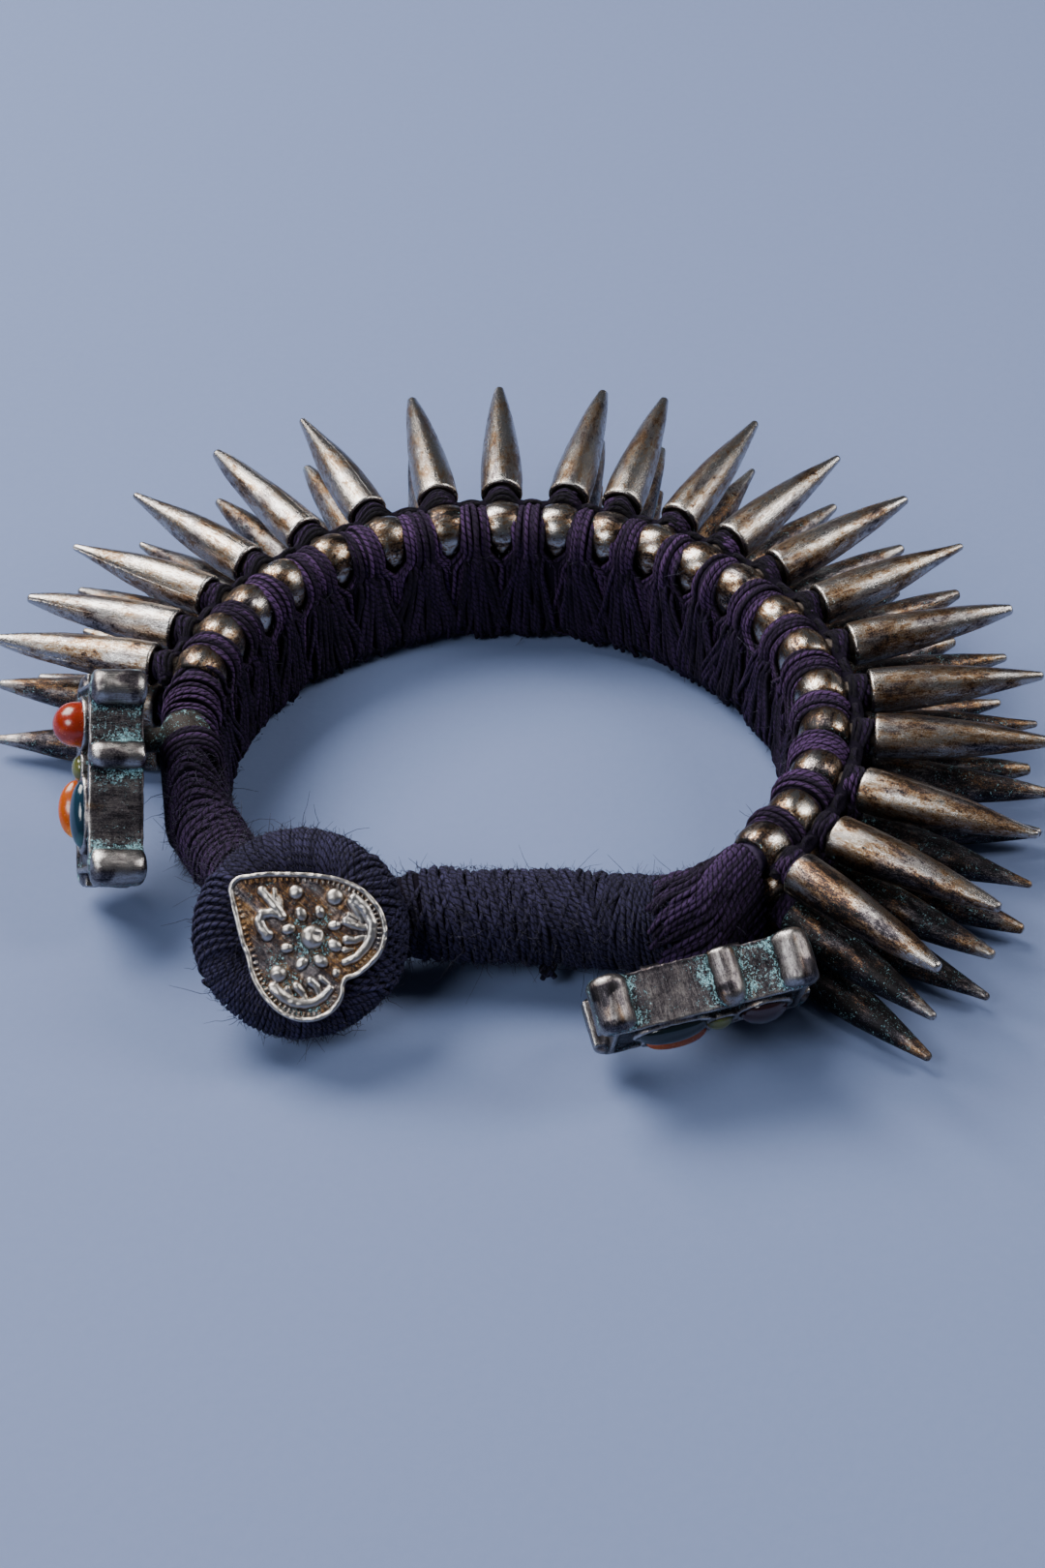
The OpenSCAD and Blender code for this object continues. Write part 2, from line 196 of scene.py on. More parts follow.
def hoop_faces(copies: int, rings: int, sides: int) -> Array:
    """Quads of grids that close on themselves both ways, facing outwards.

    Args:
        copies: how many follow each other in the point list.
        rings: rings in each.
        sides: points in a ring.

    Returns:
        The quads.
    """
    k, j = np.meshgrid(np.arange(rings), np.arange(sides), indexing="ij")
    n, m = (k + 1) % rings, (j + 1) % sides
    quads = xyz(k * sides + j, k * sides + m, n * sides + m, n * sides + j).reshape(-1, 4)
    shift = (np.arange(copies) * rings * sides)[:, None, None]
    return (quads[None] + shift).reshape(-1, 4)


@dataclass
class Shell:
    """Points, faces and point layers of several grids, which become one mesh."""
    points: list = field(default_factory=list)
    quads: list = field(default_factory=list)
    tris: list = field(default_factory=list)
    layers: list = field(default_factory=list)
    count: int = 0

    def add(self, points: Array, quads: Array | None, tris: Array | None, **layers: Array | float) -> None:
        """Adds a grid.

        Args:
            points: (n, 3), in millimetres.
            quads: corner numbers within points, or None.
            tris: the same for triangles.
            layers: one number, or values for each point, (n,) or (n, 3). Every grid has the same ones.
        """
        self.points.append(points)
        if quads is not None and len(quads):
            self.quads.append(quads + self.count)
        if tris is not None and len(tris):
            self.tris.append(tris + self.count)
        shaped = {key: np.broadcast_to(v, (len(points), *np.shape(v)[1:])) for key, v in layers.items()}
        self.layers.append(shaped)
        self.count += len(points)

    def add_strands(self, paths: Array, normals: Array, radius: float | Array,
                    sides: int, seeds: Array) -> None:
        """A round section carried along each path: point = path + r (cos a * normal + sin a * binormal).

        Args:
            paths: (strands, steps, 3).
            normals: rough outward direction at each step.
            radius: one number, or (strands, steps); the yarn runs a fifth thicker and thinner along it.
            sides: points around.
            seeds: a number for each strand, kept as a layer.
        """
        strands, steps, _ = paths.shape
        tangent = unit(np.gradient(paths, axis=1))
        normal = unit(normals - (normals * tangent).sum(-1, keepdims=True) * tangent)
        binormal = np.cross(tangent, normal)
        a = circle_angles(sides)
        step = np.linalg.norm(np.diff(paths, axis=1), axis=-1)
        along = np.concatenate([np.zeros((strands, 1)), np.cumsum(step, axis=1)], axis=1)
        slub = lattice_noise(xyz(along * 0.8, seeds[:, None] * 71, 4.4), 77)
        r = (np.broadcast_to(radius, (strands, steps)) * (1 + 0.2 * slub))[..., None, None]
        rings = paths[:, :, None] + r * (np.cos(a)[:, None] * normal[:, :, None]
                                         + np.sin(a)[:, None] * binormal[:, :, None])
        lay = xyz(along[..., None], np.cos(a), np.sin(a))
        flat = np.concatenate([rings.reshape(strands, -1, 3), paths[:, :1], paths[:, -1:]], axis=1)
        ends = np.stack([xyz(along[:, e], 1, 0) for e in (0, -1)], 1)
        lays = np.concatenate([lay.reshape(strands, -1, 3), ends], axis=1)
        seed = np.repeat(seeds, steps * sides + 2)
        quads, tris = tube_faces(strands, steps, sides)
        self.add(flat.reshape(-1, 3), quads, tris, lay=lays.reshape(-1, 3), seed=seed)

    def add_long_strand(self, path: Array, normal: Array, radius: float, parts: int,
                        rng: np.random.Generator, shades: tuple[float, float]) -> None:
        """One strand in parts that meet end to end, each with a seed of its own.

        Args:
            path: (steps, 3).
            normal: rough outward direction at each step.
            radius: the yarn's.
            parts: how many.
            rng: source of the seeds.
            shades: lowest and highest seed.
        """
        cuts = np.linspace(0, len(path) - 1, parts + 1).astype(int)
        for first, last in zip(cuts, cuts[1:]):
            part = slice(first, last + 1)
            self.add_strands(path[None, part], normal[None, part], radius, 7, rng.uniform(*shades, 1))

    def add_carried(self, rings: Array, ends: Array) -> None:
        """Adds rings that are joined to each other and closed to a point at both ends.

        Args:
            rings: (rings, sides, 3). Its points are kept as the place layer too.
            ends: the two end points.
        """
        quads, tris = tube_faces(1, rings.shape[0], rings.shape[1])
        flat = np.concatenate([rings.reshape(-1, 3), ends])
        self.add(flat, quads[:, ::-1], tris[:, ::-1], place=flat)

    def build(self, name: str) -> Object:
        """Makes the smooth mesh object, at the origin, in metres.

        Args:
            name: the piece's name.

        Returns:
            The new object.
        """
        points = np.concatenate(self.points) * MM
        quads = np.concatenate(self.quads) if self.quads else np.zeros((0, 4), int)
        tris = np.concatenate(self.tris) if self.tris else np.zeros((0, 3), int)
        mesh = bpy.data.meshes.new(name)
        mesh.vertices.add(len(points))
        mesh.vertices.foreach_set("co", points.astype(np.float32).ravel())
        loops = np.concatenate([quads.ravel(), tris.ravel()]).astype(np.int32)
        mesh.loops.add(len(loops))
        mesh.loops.foreach_set("vertex_index", loops)
        starts = np.concatenate([np.arange(len(quads)) * 4, len(quads) * 4 + np.arange(len(tris)) * 3])
        mesh.polygons.add(len(starts))
        mesh.polygons.foreach_set("loop_start", starts.astype(np.int32))
        mesh.update(calc_edges=True)
        mesh.polygons.foreach_set("use_smooth", np.full(len(starts), True))
        for key in self.layers[0]:
            values = np.concatenate([np.asarray(layer[key], np.float32) for layer in self.layers])
            kind, into = ("FLOAT", "value") if values.ndim == 1 else ("FLOAT_VECTOR", "vector")
            mesh.attributes.new(key, kind, "POINT").data.foreach_set(into, values.ravel())
        mesh.update()
        return link(name, mesh)


def link(name: str, data: bpy.types.ID) -> Object:
    """Puts a new object with this data in the scene.

    Args:
        name: its name.
        data: a mesh, a camera or a light.

    Returns:
        The object.
    """
    made = bpy.data.objects.new(name, data)
    bpy.context.scene.collection.objects.link(made)
    return made


def dress(piece: Object, material: Material, slot: str, *nodes: str) -> None:
    """Gives a piece its finish and ties it to the solids it stands for.

    Args:
        piece: the object.
        material: its finish.
        slot: not used.
        nodes: solids that it replaces.
    """
    piece.data.materials.clear()
    piece.data.materials.append(material)
    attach(piece, BODY)
    if nodes:
        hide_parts(*nodes)
    triangles = sum(len(p.vertices) - 2 for p in piece.data.polygons)
    log.info("%s: %d triangles, for %s", piece.name, triangles, ", ".join(nodes) or "no solid")


# Node trees.

class Graph:
    """A node tree with short calls for adding and joining nodes."""

    def __init__(self, tree: NodeTree) -> None:
        """Keeps the tree and clears it."""
        self.tree = tree
        tree.nodes.clear()

    def node(self, kind: str, **settings: object) -> Node:
        """Adds a node.

        Args:
            kind: its type name.
            settings: its properties.

        Returns:
            The node.
        """
        made = self.tree.nodes.new(kind)
        for key, value in settings.items():
            setattr(made, key, value)
        return made

    def feed(self, socket: NodeSocket, value: object) -> None:
        """Links an output to a socket, or sets the socket to a plain value.

        Args:
            socket: the input.
            value: an output, a number, a tuple, or None to leave it.
        """
        if isinstance(value, NodeSocket):
            self.tree.links.new(value, socket)
        elif value is not None:
            if socket.type == "RGBA" and len(value) == 3:
                value = (*value, 1)
            socket.default_value = value

    def math(self, operation: str, a: object, b: object = None, c: object = None,
             clamp: bool = False) -> NodeSocket:
        """One math node.

        Args:
            operation: its type name.
            a: first input.
            b: second input.
            c: third input.
            clamp: keep the result between 0 and 1.

        Returns:
            Its result.
        """
        made = self.node("ShaderNodeMath", operation=operation, use_clamp=clamp)
        for socket, value in zip(made.inputs, (a, b, c)):
            self.feed(socket, value)
        return made.outputs[0]

    def times(self, a: object, b: object) -> NodeSocket:
        """Product of two values."""
        return self.math("MULTIPLY", a, b)

    def plus(self, a: object, b: object) -> NodeSocket:
        """Sum of two values."""
        return self.math("ADD", a, b)

    def minus(self, a: object, b: object) -> NodeSocket:
        """The first value less the second."""
        return self.math("SUBTRACT", a, b)

    def times_plus(self, a: object, b: object, c: object) -> NodeSocket:
        """Product of the first two values, with the third added."""
        return self.math("MULTIPLY_ADD", a, b, c)

    def centred(self, value: object) -> NodeSocket:
        """A value from 0 to 1 moved to run from -0.5 to 0.5."""
        return self.math("SUBTRACT", value, 0.5)

    def split(self, vector: object) -> tuple:
        """The three parts of a vector.

        Args:
            vector: the vector.

        Returns:
            Its X, Y and Z.
        """
        made = self.node("ShaderNodeSeparateXYZ")
        self.feed(made.inputs[0], vector)
        return tuple(made.outputs)

    def step(self, value: object, low: float, high: float) -> NodeSocket:
        """A value spread smoothly over 0 to 1 between two limits.

        Args:
            value: the value.
            low: where the result is 0.
            high: where it is 1.

        Returns:
            The result.
        """
        made = self.node("ShaderNodeMapRange", interpolation_type="SMOOTHSTEP")
        for key, v in (("Value", value), ("From Min", low), ("From Max", high)):
            self.feed(made.inputs[key], v)
        return made.outputs[0]

    def blend(self, amount: object, a: object, b: object) -> NodeSocket:
        """Two colours mixed.

        Args:
            amount: share of the second.
            a: the first.
            b: the second.

        Returns:
            The mixed colour.
        """
        made = self.node("ShaderNodeMix", data_type="RGBA")
        self.feed(made.inputs["Factor"], amount)
        self.feed(made.inputs[6], a)
        self.feed(made.inputs[7], b)
        return made.outputs[2]

    def ramp(self, value: object, stops: tuple) -> NodeSocket:
        """A colour ramp.

        Args:
            value: place on it.
            stops: its (place, colour) pairs, in order.

        Returns:
            The colour there.
        """
        made = self.node("ShaderNodeValToRGB")
        points = made.color_ramp.elements
        for at, _ in stops[2:]:
            points.new(at)
        for point, (at, colour) in zip(points, stops):
            point.position, point.color = at, (*colour, 1)
        self.feed(made.inputs[0], value)
        return made.outputs[0]

    def layer(self, name: str, output: str = "Vector") -> NodeSocket:
        """A layer kept on the mesh."""
        return self.node("ShaderNodeAttribute", attribute_name=name).outputs[output]

    def noise(self, place: object, scale: float, detail: float, rough: float) -> NodeSocket:
        """Fractal noise from 0 to 1.

        Args:
            place: where it is read.
            scale: cells per unit.
            detail: number of finer layers.
            rough: strength of each against the one before.

        Returns:
            The noise.
        """
        made = self.node("ShaderNodeTexNoise")
        self.feed(made.inputs["Vector"], place)
        for key, v in (("Scale", scale), ("Detail", detail), ("Roughness", rough)):
            made.inputs[key].default_value = v
        return made.outputs["Fac"]

    def stretch(self, place: object, by: tuple, seed: object = None) -> NodeSocket:
        """A place scaled along its axes, and moved away by a seed.

        Args:
            place: the place.
            by: three factors.
            seed: a number that picks another field, or None.

        Returns:
            The new place.
        """
        made = self.node("ShaderNodeVectorMath", operation="MULTIPLY")
        self.feed(made.inputs[0], place)
        made.inputs[1].default_value = by
        if seed is None:
            return made.outputs[0]
        moved = self.node("ShaderNodeVectorMath", operation="MULTIPLY_ADD")
        self.feed(moved.inputs[0], seed)
        moved.inputs[1].default_value = (31.7, 17.3, 53.9)
        self.feed(moved.inputs[2], made.outputs[0])
        return moved.outputs[0]

    def group(self, tree: NodeTree, **values: object) -> Node:
        """Places a node group.

        Args:
            tree: the group.
            values: its inputs by name, an underscore for each space.

        Returns:
            The group's node.
        """
        made = self.node("ShaderNodeGroup", node_tree=tree)
        for key, value in values.items():
            self.feed(made.inputs[key.replace("_", " ")], value)
        return made

    def bump(self, height: object, distance: float, strength: float = 1.0) -> NodeSocket:
        """A bumped normal.

        Args:
            height: 0 to 1 height.
            distance: what a height of 1 stands for, in metres.
            strength: share of the effect.

        Returns:
            The normal.
        """
        made = self.node("ShaderNodeBump")
        made.inputs["Distance"].default_value = distance
        made.inputs["Strength"].default_value = strength
        self.feed(made.inputs["Height"], height)
        return made.outputs[0]

    def surface(self, **values: object) -> None:
        """Puts the one shader at the material's output.

        Args:
            values: its inputs by name, an underscore for each space.
        """
        shader = self.node("ShaderNodeBsdfPrincipled")
        for key, value in values.items():
            self.feed(shader.inputs[key.replace("_", " ")], value)
        out = self.node("ShaderNodeOutputMaterial")
        self.tree.links.new(shader.outputs[0], out.inputs[0])


def new_group(name: str, inputs: dict, outputs: dict) -> tuple[NodeTree, Graph, dict, dict]:
    """Starts a shader node group with named sockets.

    Args:
        name: the group's name.
        inputs: socket name to (socket type, default value).
        outputs: socket name to socket type.

    Returns:
        The tree, its graph, its input values and its output sockets.
    """
    tree = bpy.data.node_groups.new(name, "ShaderNodeTree")
    graph = Graph(tree)
    for key, (kind, value) in inputs.items():
        socket = tree.interface.new_socket(name=key, in_out="INPUT", socket_type=kind)
        if value is not None:
            socket.default_value = value
    for key, kind in outputs.items():
        tree.interface.new_socket(name=key, in_out="OUTPUT", socket_type=kind)
    into = graph.node("NodeGroupInput")
    out = graph.node("NodeGroupOutput")
    return tree, graph, {k: into.outputs[k] for k in inputs}, {k: out.inputs[k] for k in outputs}


FLOAT, VECTOR, COLOUR = "NodeSocketFloat", "NodeSocketVector", "NodeSocketColor"


class Effects:
    """The shader node groups that several finishes share, each built once."""

    def __init__(self) -> None:
        """Builds the groups."""
        self.ply = self.build_ply()
        self.tarnish = self.build_tarnish()
        self.verdigris = self.build_verdigris()

    def build_ply(self) -> NodeTree:
        """Two twisted plies: height = |cos(angle + twist * length)|, with fibres laid along the twist.

        Returns:
            The group.
        """
        tree, g, i, o = new_group("two_ply_thread", {"Lay": (VECTOR, None), "Seed": (FLOAT, 0.0),
                                                     "Twist": (FLOAT, 3.2)},
                                  {"Height": FLOAT, "Crease": FLOAT, "Fibre": FLOAT})
        length, c, s = g.split(i["Lay"])
        phase = g.times_plus(length, i["Twist"], g.times(i["Seed"], 40.0))
        cp, sp = g.math("COSINE", phase), g.math("SINE", phase)
        across = g.minus(g.times(c, cp), g.times(s, sp))
        beside = g.plus(g.times(s, cp), g.times(c, sp))
        ply = g.math("ABSOLUTE", across)
        round_ply = g.math("POWER", ply, 0.6)
        join = g.node("ShaderNodeCombineXYZ")
        g.feed(join.inputs[0], g.times(across, 3.0))
        g.feed(join.inputs[1], g.times(beside, 3.0))
        g.feed(join.inputs[2], g.times_plus(length, 0.55, g.times(i["Seed"], 91.0)))
        fibre = g.noise(join.outputs[0], 3.4, 4, 0.72)
        g.feed(o["Height"], g.times_plus(fibre, 0.9, g.times(round_ply, 1.1)))
        g.feed(o["Crease"], g.step(ply, 0.55, 0.05))
        g.feed(o["Fibre"], fibre)
        return tree

    def build_tarnish(self) -> NodeTree:
        """Silver tarnish: film = given film + cloud + streaks + patches + scratches + fine grain - wear.

        The film runs through two ramps, a golden one and a purple-grey one, from worn metal to black.

        Returns:
            The group.
        """
        tree, g, i, o = new_group(
            "silver_tarnish",
            {"Place": (VECTOR, None), "Seed": (FLOAT, 0.0), "Film": (FLOAT, 0.5), "Wear": (FLOAT, 0.0),
             "Spread": (FLOAT, 1.0), "Cool": (FLOAT, 0.0)},
            {"Colour": COLOUR, "Roughness": FLOAT, "Height": FLOAT})
        cloud = g.noise(g.stretch(i["Place"], (0.20, 0.50, 0.50), i["Seed"]), 1.0, 2, 0.5)
        streak = g.noise(g.stretch(i["Place"], (0.7, 2.2, 2.2), i["Seed"]), 1.0, 4, 0.75)
        fleck = g.noise(g.stretch(i["Place"], (4.0, 5.0, 5.0), i["Seed"]), 1.4, 5, 0.85)
        move = g.times(g.centred(cloud), 1.15)
        move = g.times_plus(g.centred(streak), 1.05, move)
        film = g.times_plus(move, i["Spread"], i["Film"])
        film = g.plus(film, g.times(g.centred(fleck), g.times_plus(i["Spread"], 1.1, 0.65)))
        scratch = g.noise(g.stretch(i["Place"], (0.5, 10.0, 10.0), i["Seed"]), 1.0, 3, 0.65)
        patch = g.noise(g.stretch(i["Place"], (1.1, 1.9, 1.9), i["Seed"]), 1.0, 5, 0.8)
        spots = g.minus(g.step(patch, 0.54, 0.61), g.times(g.step(patch, 0.46, 0.39), 0.6))
        film = g.times_plus(g.times(spots, 0.24), i["Spread"], film)
        film = g.times_plus(g.centred(scratch), 0.6, film)
        film = g.minus(film, g.times(i["Wear"], 0.5))
        film = g.math("ADD", film, 0.0, clamp=True)
        gold = g.ramp(film, (
            (0.0, (0.44, 0.405, 0.375)), (0.30, (0.31, 0.27, 0.235)), (0.45, (0.225, 0.165, 0.11)),
            (0.55, (0.240, 0.125, 0.042)), (0.63, (0.125, 0.060, 0.028)), (0.74, (0.052, 0.038, 0.038)),
            (0.86, (0.032, 0.026, 0.026)), (1.0, (0.015, 0.014, 0.014))))
        cool = g.ramp(film, (
            (0.0, (0.43, 0.41, 0.40)), (0.30, (0.31, 0.29, 0.28)), (0.50, (0.19, 0.168, 0.163)),
            (0.66, (0.090, 0.077, 0.084)), (0.82, (0.036, 0.032, 0.038)), (1.0, (0.015, 0.014, 0.016))))
        hue = g.noise(g.stretch(i["Place"], (0.13, 0.45, 0.45), i["Seed"]), 1.4, 2, 0.5)
        g.feed(o["Colour"], g.blend(g.step(g.plus(hue, i["Cool"]), 0.40, 0.60), gold, cool))
        g.feed(o["Roughness"], g.times_plus(film, 0.22, g.times_plus(scratch, 0.12, 0.09)))
        g.feed(o["Height"], g.times_plus(scratch, 0.6, g.times(fleck, 0.5)))
        return tree

    def build_verdigris(self) -> NodeTree:
        """Powdery blue-green copper bloom: grains where a mask and noise together pass a limit.

        Returns:
            The group.
        """
        tree, g, i, o = new_group(
            "verdigris_bloom", {"Place": (VECTOR, None), "Seed": (FLOAT, 0.0), "Mask": (FLOAT, 0.0)},
            {"Cover": FLOAT, "Colour": COLOUR, "Height": FLOAT})
        moved = g.stretch(i["Place"], (1, 1, 1), i["Seed"])
        patch = g.noise(moved, 0.9, 3, 0.6)
        grain = g.noise(moved, 4.5, 4, 0.85)
        total = g.times_plus(i["Mask"], 1.25, g.times(patch, 1.6))
        total = g.times_plus(grain, 5.0, total)
        tint = g.noise(moved, 7.0, 3, 0.7)
        g.feed(o["Cover"], g.step(total, 3.92, 4.06))
        g.feed(o["Colour"], g.blend(g.step(tint, 0.40, 0.62), (0.07, 0.20, 0.23), (0.46, 0.80, 0.88)))
        g.feed(o["Height"], grain)
        return tree


# Finishes.

def new_material(name: str) -> tuple[Material, Graph]:
    """An empty node material.

    Args:
        name: its name.

    Returns:
        The material and its graph.
    """
    material = bpy.data.materials.new(name)
    material.use_nodes = True
    return material, Graph(material.node_tree)


@dataclass(frozen=True)
class ThreadFinish:
    """Dyed two-ply cotton, seen on strands that carry a lay and a seed."""
    name: str
    shade: tuple
    light: tuple
    twist: float = 4.0

    def material(self, fx: Effects) -> Material:
        """Builds the finish: painted shade darkens the ply creases and the strand's flanks, where the strands
        shade each other; fibres and uneven dye lighten it.

        Args:
            fx: the shared groups.

        Returns:
            The material.
        """
        material, g = new_material(self.name)
        lay, seed = g.layer("lay"), g.layer("seed", "Fac")
        ply = g.group(fx.ply, Lay=lay, Seed=seed, Twist=self.twist)
        faded = g.noise(g.stretch(lay, (0.25, 0.3, 0.3), seed), 1.0, 3, 0.6)
        mix = g.plus(g.times(seed, 0.7), g.times(faded, 0.8))
        mix = g.plus(mix, g.times(g.centred(ply.outputs["Fibre"]), 3.2))
        # Painted shade: the ply creases pull the colour towards the dark one.
        mix = g.times_plus(ply.outputs["Crease"], -0.6, mix)
        colour = g.blend(g.step(mix, 0.42, 1.42), self.shade, self.light)
        # Painted shade: the strand's flanks, where it lies against its neighbours, and the creases go nearly
        # black.
        flank = g.step(g.split(lay)[1], 0.95, 0.05)
        dark = g.math("MAXIMUM", g.times(ply.outputs["Crease"], 0.8), g.times(flank, 0.96))
        colour = g.blend(dark, colour, tuple(0.12 * c for c in self.shade))
        g.surface(Base_Color=colour, Roughness=0.85, Specular_IOR_Level=0.2, Sheen_Weight=0.08,
                  Sheen_Roughness=0.4, Sheen_Tint=tuple(2.5 * c for c in self.light),
                  Normal=g.bump(ply.outputs["Height"], 0.00020))
        return material


@dataclass(frozen=True)
class CoreFinish:
    """Near-black finish for what lies under the strands: painted shade seen in the gaps between them, with a
    coarse wound grain.
    """
    name: str
    shade: tuple

    def material(self) -> Material:
        """Builds the finish from stretched noise on the piece's own place.

        Returns:
            The material.
        """
        material, g = new_material(self.name)
        place = g.layer("place")
        grain = g.noise(g.stretch(place, (1.8, 1.8, 0.5)), 1.0, 4, 0.6)
        colour = g.blend(grain, tuple(0.25 * c for c in self.shade), self.shade)
        g.surface(Base_Color=colour, Roughness=0.95, Specular_IOR_Level=0.1,
                  Normal=g.bump(grain, 0.0003, 0.8))
        return material


@dataclass(frozen=True)
class SilverFinish:
    """Worn silver with tarnish films, a dark soldered seam, on some spikes opened into a slit painted black
    as shade, bloom, settled dust and painted shade.
    """
    name: str
    film: float
    bloom: float = 0.0
    bump: float = 0.00004
    rough: float = 0.0
    spread: float = 1.0
    cool: float = 0.0
    seamed: bool = False

    def material(self, fx: Effects) -> Material:
        """Builds the finish.

        Layers read from the mesh: place (millimetres on the piece), seed, wear (1 where rubbed
        bright; it also carries painted shade, lower on the terminals' backs and the spikes' base
        plates, and painted light, higher on the left terminal's knobs), soot (1 where black with
        dirt, and also painted shade on the spikes' base plates and necks, the terminals' backs and
        the heart's shank) and bloom (1 where verdigris may gather).

        Args:
            fx: the shared groups.

        Returns:
            The material.
        """
        material, g = new_material(self.name)
        place, seed = g.layer("place"), g.layer("seed", "Fac")
        wear, soot = g.layer("wear", "Fac"), g.layer("soot", "Fac")
        tarnish = g.group(fx.tarnish, Place=place, Seed=seed, Film=self.film, Wear=wear,
                          Spread=self.spread, Cool=self.cool)
        colour, height = tarnish.outputs["Colour"], tarnish.outputs["Height"]
        rough = g.plus(tarnish.outputs["Roughness"], self.rough)
        grime = g.noise(g.stretch(place, (1.0, 1.0, 1.0), seed), 2.3, 4, 0.7)
        # Blackened by dirt and grime, and by the painted shade that the soot layer carries.
        dirt_and_shade_mask = g.step(g.plus(soot, g.times(g.centred(grime), 0.9)), 0.30, 0.85)
        colour = g.blend(g.times(dirt_and_shade_mask, 0.93), colour, (0.035, 0.026, 0.021))
        metal = g.times_plus(dirt_and_shade_mask, -0.55, 1.0)
        rough = g.times_plus(dirt_and_shade_mask, 0.32, rough)
        if self.seamed:
            colour, metal, rough, height = self.seam(g, colour, metal, rough, height)
        bloom = g.group(fx.verdigris, Place=place, Seed=seed,
                        Mask=g.plus(g.layer("bloom", "Fac"), self.bloom))
        cover = bloom.outputs["Cover"]
        colour = g.blend(cover, colour, bloom.outputs["Colour"])
        metal = g.times(metal, g.minus(1.0, cover))
        rough = g.math("MULTIPLY_ADD", cover, 0.6, rough, clamp=True)
        height = g.plus(height, g.times(g.times(cover, bloom.outputs["Height"]), 3.0))
        g.surface(Base_Color=colour, Metallic=metal, Roughness=rough, Normal=g.bump(height, self.bump))
        return material

    def seam(self, g: Graph, colour: object, metal: object, rough: object, height: object) -> tuple:
        """Darkens a hairline along the seam, and paints an open leaf-shaped slit black where the layer says
        so: painted shade of the hollow inside.

        The seam layer holds (share of the slit's length, distance from the seam line, slit width).

        Args:
            g: the material's graph.
            colour: the silver's colour before it.
            metal: its metallic share.
            rough: its roughness.
            height: its height.

        Returns:
            The same four after it.
        """
        share, off, width = g.split(g.layer("seam"))
        ragged = g.noise(g.layer("place"), 3.0, 3, 0.6)
        off = g.plus(g.math("ABSOLUTE", off), g.times(g.centred(ragged), 0.14))
        leaf = g.math("SUBTRACT", 1.0, g.math("POWER", share, 2.0), clamp=True)
        edge = g.minus(g.times(leaf, width), off)
        painted_slit_shade = g.step(edge, 0.0, 0.09)
        line = g.times(g.step(off, 0.10, 0.03), g.step(ragged, 0.45, 0.6))
        # The hairline is a dark joint; the slit's black is painted shade.
        dark = g.math("MAXIMUM", painted_slit_shade, g.times(line, 0.8))
        colour = g.blend(dark, colour, (0.012, 0.010, 0.012))
        metal = g.times(metal, g.minus(1.0, g.times(dark, 0.9)))
        rough = g.times_plus(dark, 0.4, rough)
        height = g.minus(height, g.times(dark, 4.0))
        return colour, metal, rough, height


@dataclass(frozen=True)
class GlassFinish:
    """A polished stone of coloured paste, cloudy inside, scuffed on top."""
    name: str
    deep: tuple
    light: tuple
    clear: float = 0.5
    rough: float = 0.08
    milky: float = 0.0

    def material(self) -> Material:
        """Builds the finish: cloudy colour by noise on the stone, lightened by a painted glow where the lift
        layer is high, and a clear gloss.

        Returns:
            The material.
        """
        material, g = new_material(self.name)
        place = g.layer("place")
        cloud = g.noise(place, 0.7, 3, 0.6)
        # The lift layer is painted light: a glow towards the stone's lower rim, where light passing through
        # it comes out.
        mix = g.plus(g.times(g.centred(cloud), 0.9), g.layer("lift", "Fac"))
        colour = g.blend(g.step(mix, 0.0, 0.8), self.deep, self.light)
        scuff = g.noise(place, 4.0, 5, 0.7)
        rough = g.times_plus(g.step(scuff, 0.5, 0.75), 0.16, self.rough)
        g.surface(Base_Color=colour, Roughness=rough, Transmission_Weight=self.clear, IOR=1.52,
                  Coat_Weight=0.12, Coat_Roughness=0.15, Subsurface_Weight=self.milky,
                  Subsurface_Scale=0.0012, Normal=g.bump(scuff, 0.00002, 0.5))
        return material


# Where things lie.

